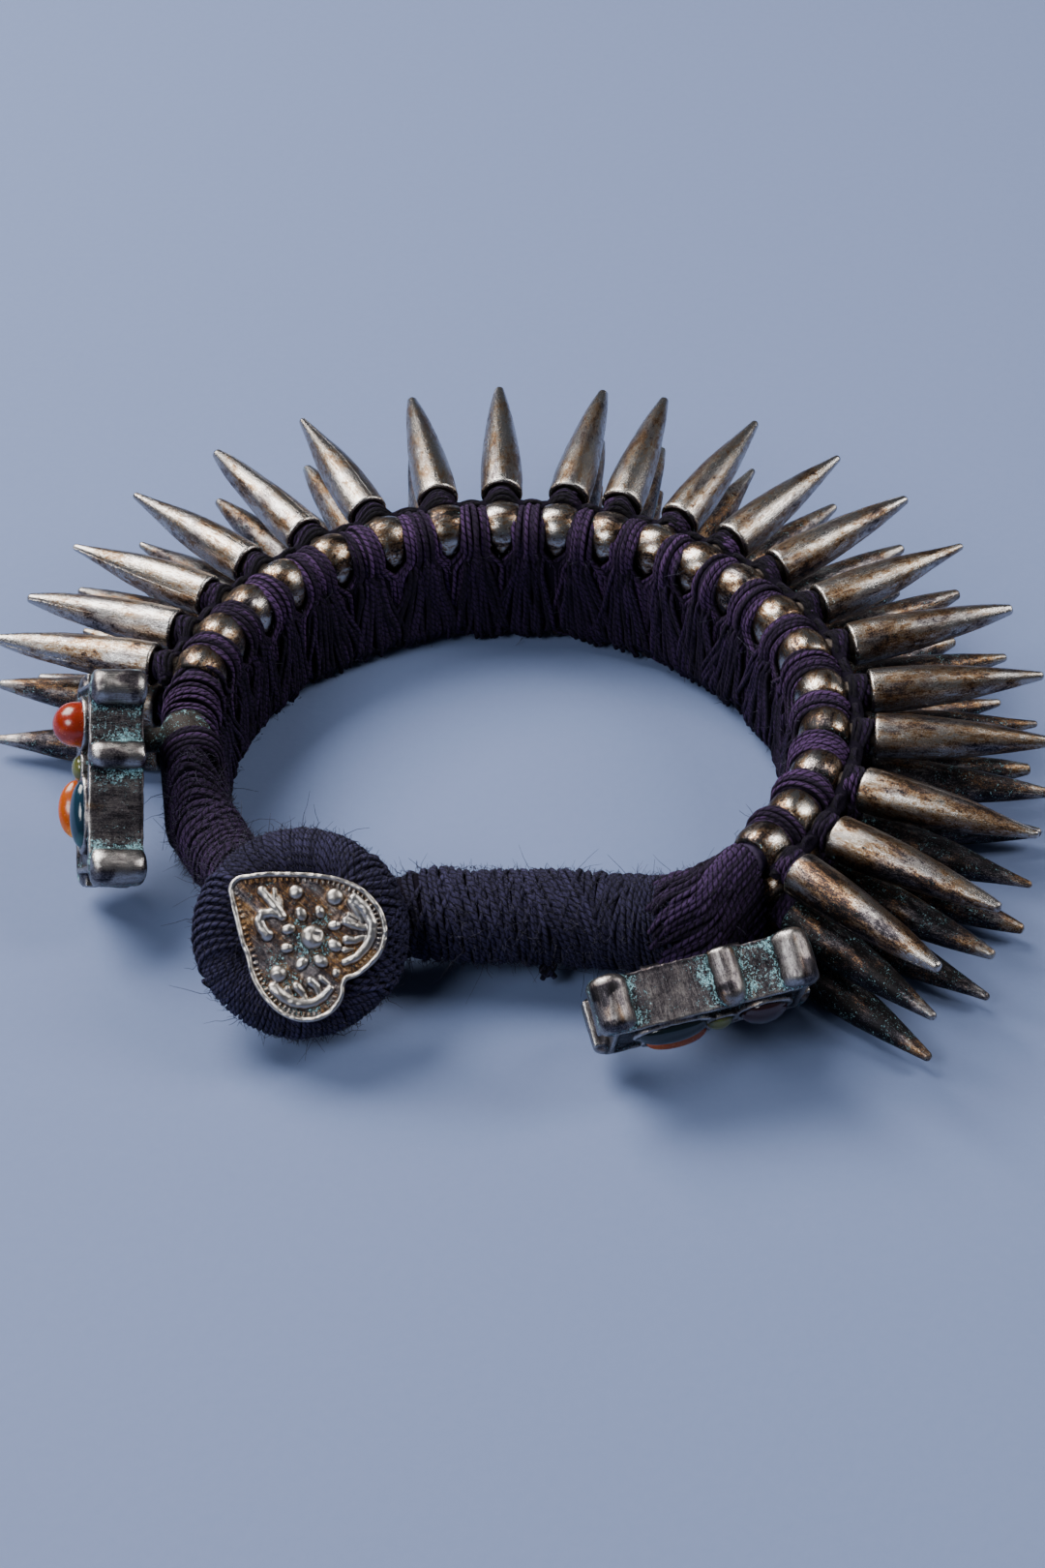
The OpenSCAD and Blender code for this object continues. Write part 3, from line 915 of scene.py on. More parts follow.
@dataclass(frozen=True)
class RingLayout:
    """The ring of columns and rows, from the same sizes as the solids."""
    ring_r: float = 33.0
    row_pitch: float = 5.5
    bottom_row_z: float = 2.95
    first_deg: float = -40.0
    steps: tuple = (10, 12, 12, 11, 12, 11, 12, 10, 10, 10, 10, 11, 11, 12, 12, 12, 10, 10, 10)
    swings: tuple = (-7, -4, -6, 1, -1, -3, -2, -6, -4, -1, 3, -3, 0, -1, 2, 1, 0, 1, 0, -5)
    lifts: tuple = (4, 1, 1, 0, 0, 0, 0, 0, 0, 0, 0, 0, 0, -1, 0, 0, 0, -1, -1, 0)
    last_splay: tuple = (9, 2, 0)
    row_fan: tuple = (5, 3, 0)
    lean_max: float = 8.0
    strap_deg: float = 187.0
    from_deg: float = -44.6
    to_deg: float = 192.0
    centre: tuple = (-0.39, -6.42, 0.0)

    @property
    def columns(self) -> Array:
        """Angle of each column."""
        return self.first_deg + np.concatenate([[0], np.cumsum(self.steps)])

    def row_z(self, row: int) -> float:
        """Height of a row's cord, row 0 lowest."""
        return self.bottom_row_z + row * self.row_pitch

    def lean(self, row: int) -> Array:
        """Upward lean of each spike of a row: most towards 65 degrees, less in some rows."""
        lean = -1 + (self.lean_max + 1) * np.cos(np.radians(self.columns - 65)) + np.array(self.lifts)
        return np.maximum(-2.4, lean - self.row_fan[row])

    def swing(self, row: int) -> Array:
        """Sideways swing of each spike of a row.

        Args:
            row: which row.

        Returns:
            An angle for each column.
        """
        swing = np.array(self.swings, float)
        swing[-1] += self.last_splay[row]
        return swing

    def place_spikes(self, local: Array, row: int, turned: bool = True) -> Array:
        """Carries points from each spike's own frame (X along it, cord at 0) to the row frame.

        Args:
            local: (columns, ..., 3).
            row: which row.
            turned: apply the lean and swing, as for a spike, or not, as for its shank ring.

        Returns:
            The points in the row frame.
        """
        out = np.empty_like(local)
        for i, deg in enumerate(self.columns):
            m = turn(Z, self.swing(row)[i]) @ turn(Y, -self.lean(row)[i]) if turned else np.eye(3)
            p = local[i] @ m.T + np.array([self.ring_r, 0, self.row_z(row)])
            out[i] = p @ turn(Z, deg).T + np.array(self.centre)
        return out

    def round_point(self, deg: Array, r: Array, z: Array) -> Array:
        """Points at angles, radii and heights about the ring's centre."""
        a = np.radians(deg)
        return xyz(r * np.cos(a), r * np.sin(a), z) + np.array(self.centre)


    def angle_at(self, s: Array) -> Array:
        """Angle at a column number, also between two columns and beyond the first and last.

        Args:
            s: column numbers.

        Returns:
            An angle for each.
        """
        last = len(self.steps)
        beyond = (np.minimum(s, 0) + np.maximum(s - last, 0)) * 10
        return np.interp(s, np.arange(last + 1), self.columns) + beyond

    def beside_cord(self, row: int, s: Array, x: Array, tall: Array,
                    floor: float) -> Array:
        """Points beside a row's cord: (x, tall) in the plane square to it, turned up by the lean.

        Args:
            row: which row.
            s: column numbers.
            x: distance outwards.
            tall: distance upwards.
            floor: least height.

        Returns:
            The points.
        """
        lean = np.radians(np.interp(s, np.arange(len(self.columns)), self.lean(row)))
        r = self.ring_r + x * np.cos(lean) - tall * np.sin(lean)
        z = np.maximum(self.row_z(row) + x * np.sin(lean) + tall * np.cos(lean), floor)
        return self.round_point(self.angle_at(s) + 0 * r, r, z)


class Row(Enum):
    """The three stacked rows of spikes."""
    BOTTOM = 0
    MIDDLE = 1
    TOP = 2


@dataclass(frozen=True)
class RowSilver:
    """How the silver of one row has aged."""
    film: float
    bloom: float
    rough: float
    spread: float
    cool: float
    ring_film: float


ROW_SILVER = {Row.TOP: RowSilver(0.50, -0.25, 0.07, 1.25, -0.06, 0.50),
              Row.MIDDLE: RowSilver(0.78, 0.02, 0.12, 1.0, 0.0, 0.80),
              Row.BOTTOM: RowSilver(0.84, 0.05, 0.14, 1.0, 0.0, 0.80)}


# Spikes.

# A seam layer's value where there is no seam: far from any line.
NO_SEAM = np.full((1, 3), 9.0)


@dataclass
class SpikeRow:
    """One row of hollow silver spikes, each on a neck with a domed shank ring."""
    ring: RingLayout
    row: Row
    length: float = 18.4
    base_r: float = 2.35
    tip_r: float = 0.55
    offset: float = 4.9
    bevel: float = 0.35
    straight: float = 3.2
    ring_r: float = 2.7
    hole_r: float = 1.9
    strap_w: float = 3.7
    plate_depth: float = 0.62
    neck_r: float = 1.2
    neck_from: float = 2.3
    strap_dome: float = 0.40
    strap_soft: float = 0.28
    dents: tuple = (0.024, 0.005)
    blunting: tuple = (0.74, 1.18)
    bending: tuple = (0.05, 0.28)
    slit_share: float = 0.16
    sides: int = 40

    def profile(self) -> tuple[Array, Array, Array]:
        """Half section of a spike: recessed base plate, rolled rim, straight run, ogive, worn tip.

        Returns:
            Distances along the spike, radii, and how rubbed each place is; below zero in the base plate, as
            painted shade.
        """
        a = np.linspace(0, np.pi / 2, 6)
        b = self.bevel
        deep = self.plate_depth
        plate = np.array([[deep, 0.7], [deep, 1.4], [0.52, 1.80], [0.12, 1.90], [0.01, 1.95]])
        rim = xyz(b - b * np.cos(a), self.base_r - b + b * np.sin(a))
        run = xyz(np.linspace(b, self.straight, 6)[1:], np.full(5, self.base_r))
        u = np.linspace(0, 1, 30)[1:]
        ogive = self.tip_r + (self.base_r - self.tip_r) * (1 - 0.32 * u - 0.68 * u * u)
        body = xyz(self.straight + u * (self.length - self.straight - self.tip_r), ogive)
        t = np.linspace(0, 1, 5)[1:-1]
        cap = xyz(self.length - self.tip_r * (1 - t), self.tip_r * np.sqrt(1 - t * t))
        rows = np.concatenate([plate, rim, run, body, cap])
        wear = np.concatenate([np.full(5, -0.8), [0.0, 0.5, 0.8, 0.8, 0.6, 0.4], [0.15, 0.0, -0.1, 0, 0],
                               np.clip((u - 0.76) * 3.2, 0, 0.7), np.full(3, 0.7)])
        return rows[:, 0], rows[:, 1], wear

    def spikes(self) -> Shell:
        """Spikes as lathe surfaces: radius = profile * (1 + long facets + dents), on a bent axis.

        Returns:
            The row's spikes.
        """
        x, r, wear = self.profile()
        n, rings, sides, k = len(self.ring.columns), len(x), self.sides, self.row.value
        rng = np.random.default_rng(410 + k)
        a = circle_angles(sides)
        u = np.clip(x / self.length, 0, 1)
        phase = rng.uniform(0, 2 * np.pi, (n, 4))
        facets = rng.integers(3, 7, n)
        amount = rng.uniform(0.008, 0.028, n)
        ring_x, ring_r = x[:, None], r[:, None]
        grid = xyz(ring_x * 0.32, np.cos(a) * ring_r * 0.6, np.sin(a) * ring_r * 0.6)
        grid = grid + (np.arange(n) * 13.7 + 100 * k)[:, None, None, None]
        dents = lattice_noise(grid, 5) * self.dents[0] + lattice_noise(grid * 3.1, 6) * self.dents[1]
        facet = np.cos(facets[:, None, None] * a + phase[:, :1, None])
        swell = 1 + amount[:, None, None] * facet * u[:, None] \
            + dents * smoothstep(0.3, 2.0, x)[:, None]
        blunt = rng.uniform(*self.blunting, n)[:, None]
        rr = (r * (1 + (blunt - 1) * smoothstep(0.5, 0.95, u)))[..., None] * swell
        bend = rng.uniform(*self.bending, n)[:, None] * u ** 2
        away = phase[:, 1]
        y = rr * np.cos(a) + (bend * np.cos(away)[:, None])[..., None]
        z = rr * np.sin(a) + (bend * np.sin(away)[:, None])[..., None]
        stretch = 1 + rng.uniform(-0.012, 0.006, n)
        local = xyz(self.offset + ring_x * stretch[:, None, None], y, z)
        tip = [self.offset + self.length * stretch, bend[:, -1] * np.cos(away), bend[:, -1] * np.sin(away)]
        foot = [np.full(n, self.offset + self.plate_depth), 0, 0]
        poles = np.stack([xyz(*foot), xyz(*tip)], 1)
        flat = np.concatenate([local.reshape(n, -1, 3), poles], 1)
        seam_at = self.seam_angle(rng, n)
        off = np.angle(np.exp(1j * (a - seam_at[:, None, None]))) * np.maximum(rr, 0.05)
        middle, half, width = self.slits(rng, n)
        share = np.abs(ring_x - middle[:, None, None]) / half[:, None, None]
        seam = xyz(share, off, width[:, None, None])
        side = np.interp(self.ring.columns, (-40, -30, 20, 60, 110, 187),
                         (-0.34, -0.12, 0.10, 0.34, 0.5, 0.3))
        rub = wear[:, None] + side[:, None, None] + np.zeros_like(rr)
        # Black over the recessed base plate and its rim: painted shade, with some dirt.
        soot = np.concatenate([np.full(5, 1.0), [0.4], np.zeros(len(x) - 6)])
        bloom = np.clip(0.4 - x / 6, 0, 1) * 0.5
        seeds = rng.uniform(0, 1, n)

        def with_poles(v: Array, first: float, last: float) -> Array:
            """A layer over the rings of each spike, and its values at the two poles.

            Args:
                v: (spikes, rings, sides), or one value for each ring.
                first: value in the base plate.
                last: value at the tip.

            Returns:
                A value for each point.
            """
            v = np.broadcast_to(v if v.ndim > 1 else v[:, None], rr.shape)
            ends = [np.full((n, 1), first), np.full((n, 1), last)]
            return np.concatenate([v.reshape(n, -1), *ends], 1).ravel()

        quads, tris = tube_faces(n, rings, sides)
        shell = Shell()
        seam_flat = np.concatenate([seam.reshape(n, -1, 3), np.broadcast_to(NO_SEAM, (n, 2, 3))], 1)
        shell.add(self.ring.place_spikes(flat, k).reshape(-1, 3), quads, tris, place=flat.reshape(-1, 3),
                  seed=np.repeat(seeds, rings * sides + 2), wear=with_poles(rub, -0.5, 1),
                  soot=with_poles(soot, 1, 0), bloom=with_poles(bloom, 0, 0),
                  seam=seam_flat.reshape(-1, 3))
        return shell

    def seam_angle(self, rng: np.random.Generator, n: int) -> Array:
        """Where each spike's soldered seam lies around it. Some of the top row's face the front.

        Args:
            rng: source of the others' angles.
            n: how many spikes.

        Returns:
            An angle for each.
        """
        angle = rng.uniform(0, 2 * np.pi, n)
        if self.row is Row.TOP:
            angle[1], angle[2], angle[15], angle[16] = 0.95, 1.3, 1.9, 1.5
        return angle

    def slits(self, rng: np.random.Generator, n: int) -> tuple[Array, Array, Array]:
        """The slit painted black in each spike's seam, zero wide on most.

        Args:
            rng: source of their places and sizes.
            n: how many spikes.

        Returns:
            Middle, half length and half width of each.
        """
        width = np.where(rng.uniform(0, 1, n) < self.slit_share, rng.uniform(0.05, 0.14, n), 0.0)
        middle, half = rng.uniform(5, 11, n), rng.uniform(1.2, 3.2, n)
        if self.row is Row.TOP:
            width[[0, 1, 2, 15, 16]] = [0, 0.26, 0.0, 0.2, 0.12]
            middle[[1, 15, 16]], half[[1, 15, 16]] = [5.6, 6.0, 2.6], [3.0, 1.8, 1.6]
        return middle, half, width

    def necks(self, shell: Shell) -> None:
        """Plain necks from the shank ring into the base plate, blackened as painted shade between the ring
        and the spike.

        Args:
            shell: the spikes' shell, which they are added to.
        """
        n, sides = len(self.ring.columns), 20
        x = np.array([self.neck_from, 3.0, 4.0, 5.56])
        one = lathe(x, np.full(len(x), self.neck_r), sides)
        flat = np.broadcast_to(one, (n, *one.shape))
        quads, tris = tube_faces(n, len(x), sides)
        shell.add(self.ring.place_spikes(flat, self.row.value).reshape(-1, 3), quads, tris,
                  place=flat.reshape(-1, 3), seed=0, wear=0, soot=0.8, bloom=0, seam=NO_SEAM)

    def shank_rings(self) -> Shell:
        """Domed shank rings: a rounded strap section turned about the cord's direction.

        On the inner side the strap swells by up to a quarter and narrows to a petal's tip.

        Returns:
            The row's rings.
        """
        n, k = len(self.ring.columns), self.row.value
        rng = np.random.default_rng(77 + k)
        half, soft = self.strap_w / 2, self.strap_soft
        across = np.linspace(-1, 1, 13)
        dome = self.ring_r - self.strap_dome * np.abs(across) ** 2.2
        top = xyz(across * (half - soft * 0.35), dome)
        corner_out = np.array([[half, self.ring_r - self.strap_dome - soft * 0.75],
                               [half, self.hole_r + 0.12]])
        inner = xyz(np.linspace(half - 0.12, -half + 0.12, 5), np.full(5, self.hole_r))
        corner_in = corner_out[::-1] * [-1, 1]
        loop = np.concatenate([top, corner_out, inner, corner_in])
        rub = np.concatenate([0.25 - 0.75 * np.abs(across) ** 2.4, [-0.6, -0.9], np.full(5, -1.0),
                              [-0.9, -0.6]])
        edge = np.concatenate([0.75 * np.abs(across) ** 4, [0.95, 1], np.full(5, 1.0), [1, 0.95]])
        sides, m = 40, len(loop)
        a = circle_angles(sides)
        w, r = loop[:, 0], loop[:, 1]
        grid = xyz(r * np.cos(a)[:, None] * 0.8, w * 0.8, r * np.sin(a)[:, None] * 0.8)
        grid = grid + (np.arange(n) * 7.3 + 60 * k)[:, None, None, None]
        rr = r * (1 + 0.016 * lattice_noise(grid, 9) + 0.006 * lattice_noise(grid * 2.7, 10))
        tilt = rng.uniform(-0.05, 0.05, n)[:, None, None]
        degrees = np.degrees(a)
        petal = np.interp(degrees, (0, 125, 155, 180, 200, 216, 230, 242, 256, 284, 360),
                          (1, 1, 1.02, 1.055, 1.11, 1.20, 1.27, 1.20, 1.06, 1, 1))
        rr = rr * petal[:, None]
        taper = 1 - 0.12 * smoothstep(110, 170, degrees) * smoothstep(350, 290, degrees) \
            - 0.48 * smoothstep(170, 236, degrees) * smoothstep(350, 290, degrees)
        y = w * taper[:, None] + rr * np.cos(a)[:, None] * tilt
        local = xyz(rr * np.cos(a)[:, None], y, rr * np.sin(a)[:, None])
        quads = hoop_faces(n, sides, m)[:, ::-1]
        flat = local.reshape(n, -1, 3)
        shell = Shell()
        each = sides * m
        # The place layer runs (around, across, radius), so that films follow the strap.
        place = xyz(flat[..., 1] * 0.9, flat[..., 0] * 0.7, flat[..., 2] * 0.7)
        hidden = smoothstep(185, 225, degrees)[:, None]
        shell.add(self.ring.place_spikes(flat, k, False).reshape(-1, 3), quads, None,
                  place=place.reshape(-1, 3), seed=np.repeat(rng.uniform(0, 1, n), each),
                  wear=np.tile((rub - 0.4 * hidden).ravel(), n),
                  soot=np.tile(edge * 0.55, sides * n), bloom=np.tile(edge * 0.25, sides * n))
        return shell

    def build(self, fx: Effects) -> None:
        """Makes and dresses the row's spikes and its shank rings.

        Args:
            fx: the shared groups.
        """
        name = self.row.name.lower()
        node = f"spike_row_{name}"
        age = ROW_SILVER[self.row]
        shell = self.spikes()
        self.necks(shell)
        silver = SilverFinish(f"spike_silver_{name}", age.film, age.bloom, rough=age.rough,
                              spread=age.spread, cool=age.cool, seamed=True)
        dress(shell.build(f"silver_spikes_{name}"), silver.material(fx), "spike_silver", node)
        strap = SilverFinish(f"shank_ring_silver_{name}", age.ring_film, -0.25, rough=0.05,
                             bump=0.00003, spread=1.8, cool=-0.13)
        dress(self.shank_rings().build(f"shank_rings_{name}"), strap.material(fx), "spike_silver", node)


# Thread.

@dataclass
class ColumnBinding:
    """Thread bound between the columns around all three cords, spreading into a curtain inside.

    The strands run narrow past the straps and spread between the two heights of spread_z. A fan of
    the curtain hangs from between its tops down to fan_low, and a near-black wall lies behind it:
    painted shade behind the curtain.
    """
    ring: RingLayout
    half: float = 3.05
    mid_r: float = 32.65
    top_z: float = 16.35
    strand_r: float = 0.27
    strands: int = 14
    steps: int = 78
    floor: float = 0.32
    fan_strands: int = 22
    curtain_r: float = 29.5
    fan_tops: tuple = (10.6, 13.4)
    fan_low: float = 0.45
    spread_z: tuple = (12.9, 10.4)
    strap_room: float = 3.35
    narrowest: float = 1.7
    laces: int = 14
    collar_r: float = 1.46
    collar_x: tuple = (2.95, 1.72)
    collar_turns: float = 3.7
    core_inset: float = 0.62
    core_room: float = 3.9
    wall: tuple = ((30.4, 2.3), (30.4, 11.3), (30.1, 11.5), (29.85, 11.3), (29.85, 2.3), (30.1, 2.1))
    wall_middle: tuple = (29.98, 6.0)

    def ribs(self) -> Array:
        """The bound stretches between shank rings.

        Returns:
            From and to angle of each.
        """
        c = self.ring.columns
        cuts = np.concatenate([c, [self.ring.strap_deg]])
        stretches = xyz(cuts[:-1], cuts[1:])
        stretches[-1, 1] += 2.0
        last = [[self.ring.strap_deg - 2.0, self.ring.to_deg + 4.0]]
        return np.concatenate([stretches, last])

    def outline(self, q: Array) -> tuple[Array, Array, Array, Array]:
        """A stadium in the (radius, height) plane: two straight sides joined by half circles.

        Args:
            q: share of the way round, from the outer bottom up, over the top and down inside.

        Returns:
            Radial offset, height, and the outward direction's two parts.
        """
        h = self.half
        straight = self.top_z - 2 * h
        total = 2 * straight + 2 * np.pi * h
        s = (q % 1) * total
        out = np.full(s.shape, h)
        z = h + s
        nx, nz = np.ones_like(s), np.zeros_like(s)
        t = (s - straight) / h
        over = (s >= straight) & (t < np.pi)
        out, z = np.where(over, h * np.cos(t), out), np.where(over, self.top_z - h + h * np.sin(t), z)
        nx, nz = np.where(over, np.cos(t), nx), np.where(over, np.sin(t), nz)
        s3 = s - straight - np.pi * h
        down = (s3 >= 0) & (s3 < straight)
        out, z = np.where(down, -h, out), np.where(down, self.top_z - h - s3, z)
        nx, nz = np.where(down, -1.0, nx), np.where(down, 0.0, nz)
        t4 = (s3 - straight) / h
        under = t4 >= 0
        out, z = np.where(under, -h * np.cos(t4), out), np.where(under, h - h * np.sin(t4), z)
        nx, nz = np.where(under, -np.cos(t4), nx), np.where(under, -np.sin(t4), nz)
        return out, z, nx, nz

    def strands_of(self, rib: int, low: float, high: float, rng: np.random.Generator) -> tuple:
        """Paths of one rib's strands: stadium turns fanned sideways where they come down inside.

        Args:
            rib: its number.
            low: angle of the shank ring before it.
            high: angle of the one after it.
            rng: source of hand-laid unevenness.

        Returns:
            Paths and outward directions.
        """
        n, m = self.strands, self.steps
        q = np.linspace(0, 1, m)
        out, z, nx, nz = self.outline(q + 0.02)
        arc = math.radians(high - low) * self.ring.ring_r
        narrow = max(arc - self.strap_room, self.narrowest)
        lane = rng.permutation((np.arange(n) - (n - 1) / 2) / ((n - 1) / 2))
        lane = lane + rng.uniform(-0.10, 0.10, n)
        inside = smoothstep(-0.4, -0.95, out / self.half)
        widen = inside * smoothstep(*self.spread_z, z) * smoothstep(0.4, 3.0, z)
        outside = smoothstep(0.3, 0.9, out / self.half)
        width = narrow * (1 - 0.1 * outside) + (arc * 1.04 - narrow) * widen
        layer = np.arange(n) % 3 / 2
        arch = np.clip(1 - lane ** 2, 0, 1)
        slant = rng.uniform(-1.5, 1.5, n)
        shift = np.stack([wander(q * 5, 30 + j, rib) * 0.34 + wander(q * 17, 90 + j, rib) * 0.08
                          + slant[j] * inside * smoothstep(11.5, 2, z) for j in range(n)])
        lift = np.stack([wander(q * 7, 60 + j, rib) * 0.12 + wander(q * 23, 160 + j, rib) * 0.04
                         for j in range(n)])
        side = lane[:, None] * (width / 2) + shift
        base = -0.42 + 0.44 * arch[:, None] * (1 - widen) \
            - 0.42 * layer[:, None] * (1 - 0.3 * widen)
        base = base + (0.18 + 0.22 * wander(np.full(1, rib * 1.7), 11)) * widen
        raised = base + lift
        r = self.mid_r + out + nx * raised
        zz = z + nz * raised
        zz = np.maximum(zz + (1 - smoothstep(0.0, 2.2, z)) * rng.uniform(0, 0.7, (n, 1)), self.floor)
        deg = (low + high) / 2 + np.degrees(side / r)
        paths = self.ring.round_point(deg, r, zz)
        a = np.radians(deg)
        normals = xyz(nx * np.cos(a), nx * np.sin(a), nz)
        return paths, normals

    def veil(self, rng: np.random.Generator) -> Shell:
        """Fans from each rib over the curtain: angle = rib centre + lane * half width, wider as it falls.

        A fan's outer strands cross the neighbouring one and end higher, so the lower edge is scalloped.

        Args:
            rng: source of the unevenness.

        Returns:
            The curtain's strands.
        """
        each, m = self.fan_strands, 24
        t = np.linspace(0, 1, m)[None]
        paths, normals = [], []
        for rib, (first, last) in enumerate(self.ribs()):
            lane = rng.permutation(np.linspace(-1, 1, each))[:, None]
            lane = lane + rng.uniform(-0.12, 0.12, (each, 1))
            arc = (last - first) * (1 + 0.25 * math.sin(3.1 * rib))
            top = rng.uniform(*self.fan_tops, (each, 1)) - 0.9 * np.abs(lane)
            low = self.fan_low + 1.3 * np.abs(lane) ** 2 + rng.uniform(0, 0.8, (each, 1))
            z = top + (low - top) * t
            r = self.curtain_r - 0.16 * smoothstep(0.0, 0.2, t) + 0.5 * smoothstep(0.10, 0.0, t) \
                + 0.8 * smoothstep(0.84, 1.0, t)
            key = np.arange(each)[:, None] * 3.3 + rib * 91.0
            r = r + 0.16 * lattice_noise(xyz(t * 4, key, 0), 8)
            half = (0.25 + 0.27 * smoothstep(0.0, 0.9, t)) * arc
            lean = rng.normal(0, 2.4) + rng.normal(0, 1.5, (each, 1))
            deg = (first + last) / 2 + lane * half + lean * t ** 1.3 \
                + 0.45 * lattice_noise(xyz(t * 3, key * 0.7, 5), 9)
            a = np.radians(deg)
            paths.append(self.ring.round_point(deg, r, z))
            normals.append(xyz(-np.cos(a), -np.sin(a), 0))
        shell = Shell()
        shell.add_strands(np.concatenate(paths), np.concatenate(normals), self.strand_r, 6,
                          rng.uniform(0, 1, each * len(paths)))
        return shell

    def lacing(self) -> Shell:
        """Strands side by side over and under the necks outside the shank rings, in all three rows.

        In the plane square to the cord each lies at (x, sign * tall), turned by the spikes' lean; tall
        dips between two spikes, and two strands of each row weave over one neck and under the next.

        Returns:
            The strands.
        """
        shell = Shell()
        s = np.linspace(-0.36, len(self.ring.columns) - 0.64, 340)
        a = np.radians(self.ring.angle_at(s))
        dip = np.sin(np.pi * s) ** 2
        rng = np.random.default_rng(61)
        for row in Row:
            for k in range(self.laces):
                seed = 200 + 20 * k + row.value
                if k < 5:
                    x, sign = 3.0 + 0.38 * k, 1.0
                elif k < 9:
                    x, sign = 3.05 + 0.45 * (k - 5), -1.0
                elif k < 11:
                    x = 3.4 + 0.7 * (k - 9)
                    sign = np.clip(1.6 * np.cos(np.pi * s) * (1 if k == 9 else -1), -1, 1)
                else:
                    x, sign = 2.9 + 0.5 * (k - 11), 0.55
                tall = (1.62 - 2.5 * dip + 0.12 * (k % 2)) * sign + 0.16 * wander(s * 1.3, seed, 1.0) \
                    + 0.07 * wander(s * 5, seed, 2.0)
                out = x * (1 - dip) + (2.72 + 0.05 * k) * dip + 0.16 * wander(s * 1.1, seed, 3.0) \
                    + 0.06 * wander(s * 6, seed, 4.0)
                path = self.ring.beside_cord(row.value, s, out, tall, self.floor)
                normal = xyz(np.cos(a), np.sin(a), np.sign(tall))
                shell.add_strands(path[None], normal[None], self.strand_r, 6, rng.uniform(0, 1, 1))
        return shell

    def collars(self) -> Shell:
        """Thread turned around each neck between the shank ring and the spike's base plate.

        Returns:
            The turns.
        """
        shell = Shell()
        n = len(self.ring.columns)
        t = np.linspace(0, 1, 76)
        rng = np.random.default_rng(5)
        for row in Row:
            a = 2 * np.pi * self.collar_turns * t + rng.uniform(0, 6.28, n)[:, None]
            x = self.collar_x[0] + self.collar_x[1] * t + 0.12 * np.sin(a + rng.uniform(0, 6.28, n)[:, None])
            r = self.collar_r + 0.12 * np.sin(2.3 * a) + rng.uniform(-0.05, 0.08, n)[:, None]
            local = xyz(x, r * np.cos(a), r * np.sin(a))
            path = self.ring.place_spikes(local, row.value)
            ahead = self.ring.place_spikes(local + xyz(0, np.cos(a), np.sin(a)), row.value)
            shell.add_strands(path, ahead - path, self.strand_r, 6, rng.uniform(0, 1, n))
        return shell

    def backing(self) -> Shell:
        """Near-black pieces under the strands, painted shade in the gaps: cores between the rings, a wall
        inside, and three laces.

        Returns:
            The backing.
        """
        shell = Shell()
        around = 56
        out, z, nx, nz = self.outline(np.arange(around) / around)
        for low, high in self.ribs():
            arc = math.radians(high - low) * self.ring.ring_r
            half_deg = math.degrees((arc - self.core_room) / 2 / self.ring.ring_r)
            section = xyz(self.mid_r + out - nx * self.core_inset, z - nz * self.core_inset)
            self.add_block(shell, (low + high) / 2 + np.linspace(-half_deg, half_deg, 5), section,
                           (self.mid_r, self.top_z / 2))
        deg = np.linspace(self.ring.from_deg, self.ring.to_deg, 190)
        self.add_block(shell, deg, np.array(self.wall), self.wall_middle)
        s = np.linspace(-0.3, len(self.ring.columns) - 0.7, 240)[:, None]
        a = circle_angles(12)
        for row in Row:
            x, tall = 3.1 + 0.85 * np.cos(a), (1.15 - 0.6 * np.sin(np.pi * s) ** 2) * np.sin(a)
            pts = self.ring.beside_cord(row.value, s, x, tall, 0.35)
            shell.add_carried(pts, pts[[0, -1]].mean(1))
        return shell

    def add_block(self, shell: Shell, deg: Array, section: Array, middle: tuple) -> None:
        """Adds a section carried round the ring, closed at both ends.

        Args:
            shell: where it goes.
            deg: the angles of its rings.
            section: its corners' radii and heights.
            middle: radius and height of the point that its ends close to.
        """
        shape = (len(deg), len(section))
        pts = self.ring.round_point(np.repeat(deg[:, None], shape[1], 1),
                                    np.broadcast_to(section[:, 0], shape),
                                    np.broadcast_to(section[:, 1], shape))
        shell.add_carried(pts, self.ring.round_point(deg[[0, -1]], *(np.full(2, v) for v in middle)))

    def build(self, thread: Material, shaded: Material,
              core: Material) -> None:
        """Makes and dresses the bound ribs, the curtain, the lacing, the collars and the backing.

        Args:
            thread: the strands' finish.
            shaded: a darker copy of the strands' finish, painted shade on the curtain and the lacing.
            core: the backing's near-black finish, painted shade.
        """
        rng = np.random.default_rng(19)
        ribs = self.ribs()
        cut = len(ribs) // 2
        for name, some in (("binding_strands_right", range(cut)),
                           ("binding_strands_left", range(cut, len(ribs)))):
            shell = Shell()
            for i in some:
                paths, normals = self.strands_of(i, *ribs[i], rng)
                shell.add_strands(paths, normals, self.strand_r, 7, rng.uniform(0, 1, len(paths)))
            dress(shell.build(name), thread, "aubergine_thread", "binding")
        dress(self.veil(rng).build("binding_veil"), shaded, "aubergine_thread", "binding")
        dress(self.backing().build("binding_backing"), core, "aubergine_thread", "binding")
        dress(self.lacing().build("lacing_strands"), shaded, "aubergine_thread")
        dress(self.collars().build("neck_collars"), thread, "aubergine_thread")


